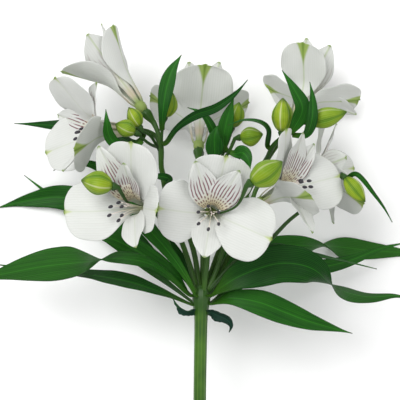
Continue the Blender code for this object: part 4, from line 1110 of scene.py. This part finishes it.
def make_plant():
    """Every visible piece of the stem."""
    petal, stamen, bud = petal_material(), stamen_material(), bud_material()
    leaf = leaf_material("leaf_green", (0.020, 0.135, 0.008), (0.004, 0.046, 0.004), 0.42)
    bract = leaf_material("bract_green", (0.020, 0.125, 0.010), (0.004, 0.046, 0.006), 0.42)
    withered = leaf_material("withered_green", (0.012, 0.050, 0.030), (0.005, 0.024, 0.015), 0.65)
    make_stem(stem_material())
    for seed, flower in enumerate(FLOWERS):
        make_tepals(flower, petal, np.random.default_rng(100 + seed))
        make_stamens(flower, stamen)
    for seed, name in enumerate(BUDS):
        make_bud(name, bud, np.random.default_rng(200 + seed))
    groups = (
        (WHORL_LEAVES, LEAF_ROWS, LEAF_COLUMNS, WHORL_CHANNEL, WHORL_WAVE, leaf, "leaf_green"),
        (BRACTS, BRACT_ROWS, BRACT_COLUMNS, BRACT_CHANNEL, BRACT_WAVE, bract, "bract_green"),
        (WITHERED, BRACT_ROWS, BRACT_COLUMNS, WITHERED_CHANNEL, WITHERED_WAVE, withered, "withered_green"))
    for leaves, rows, columns, channel, wave, material, slot in groups:
        for seed, (name, shape) in enumerate(leaves.items()):
            rng = np.random.default_rng(300 + seed)
            make_leaf(name, shape, rows, columns, channel, wave, material, slot, rng)


# Setting


def make_floor():
    """A plain pale floor under the stem."""
    tree = Tree("pale_floor")
    mesh = bpy.data.meshes.new("floor")
    corners = [(x * FLOOR_HALF, y * FLOOR_HALF, 0.0) for x, y in ((-1, -1), (1, -1), (1, 1), (-1, 1))]
    mesh.from_pydata(corners, [], [(0, 1, 2, 3)])
    mesh.materials.append(tree.finish((FLOOR_TONE, FLOOR_TONE, FLOOR_TONE), 0.9, specular=0.1))
    floor = bpy.data.objects.new("floor", mesh)
    floor.location.z = -FLOOR_DROP
    bpy.context.scene.collection.objects.link(floor)


def add_light(name, place, size, power):
    """A square soft light that looks at the flowers."""
    light = bpy.data.lights.new(name, "AREA")
    light.size = size
    light.energy = power
    lamp = bpy.data.objects.new(name, light)
    lamp.location = place
    aim = np.array(WHORL_AT) + (0, 0.05, 0) - np.array(place)
    lamp.rotation_euler = Vector(aim).to_track_quat("-Z", "Y").to_euler()
    bpy.context.scene.collection.objects.link(lamp)


def make_lights():
    """A broad key from the upper left, a fill from the right and a bright room."""
    add_light("key", (-0.7, 0.9, 1.7), 1.2, KEY_POWER)
    add_light("fill", (1.1, -0.3, 1.6), 1.4, FILL_POWER)
    world = bpy.data.worlds.new("room")
    world.use_nodes = True
    world.node_tree.nodes["Background"].inputs["Color"].default_value = (1.0, 1.0, 1.0, 1.0)
    world.node_tree.nodes["Background"].inputs["Strength"].default_value = ROOM_STRENGTH
    bpy.context.scene.world = world
    bpy.context.scene.view_settings.view_transform = "Standard"


def make_camera():
    """The camera looks straight down on the flowers, as the photograph looks at them."""
    camera = bpy.data.cameras.new("camera")
    camera.angle = 2 * math.atan(VIEW_WIDTH / 2 / VIEW_HEIGHT)
    view = bpy.data.objects.new("camera", camera)
    view.location = (WHORL_AT[0] + VIEW_MIDDLE[0], WHORL_AT[1] + VIEW_MIDDLE[1], WHORL_AT[2] + VIEW_HEIGHT)
    bpy.context.scene.collection.objects.link(view)
    bpy.context.scene.camera = view


make_plant()
make_floor()
make_lights()
make_camera()
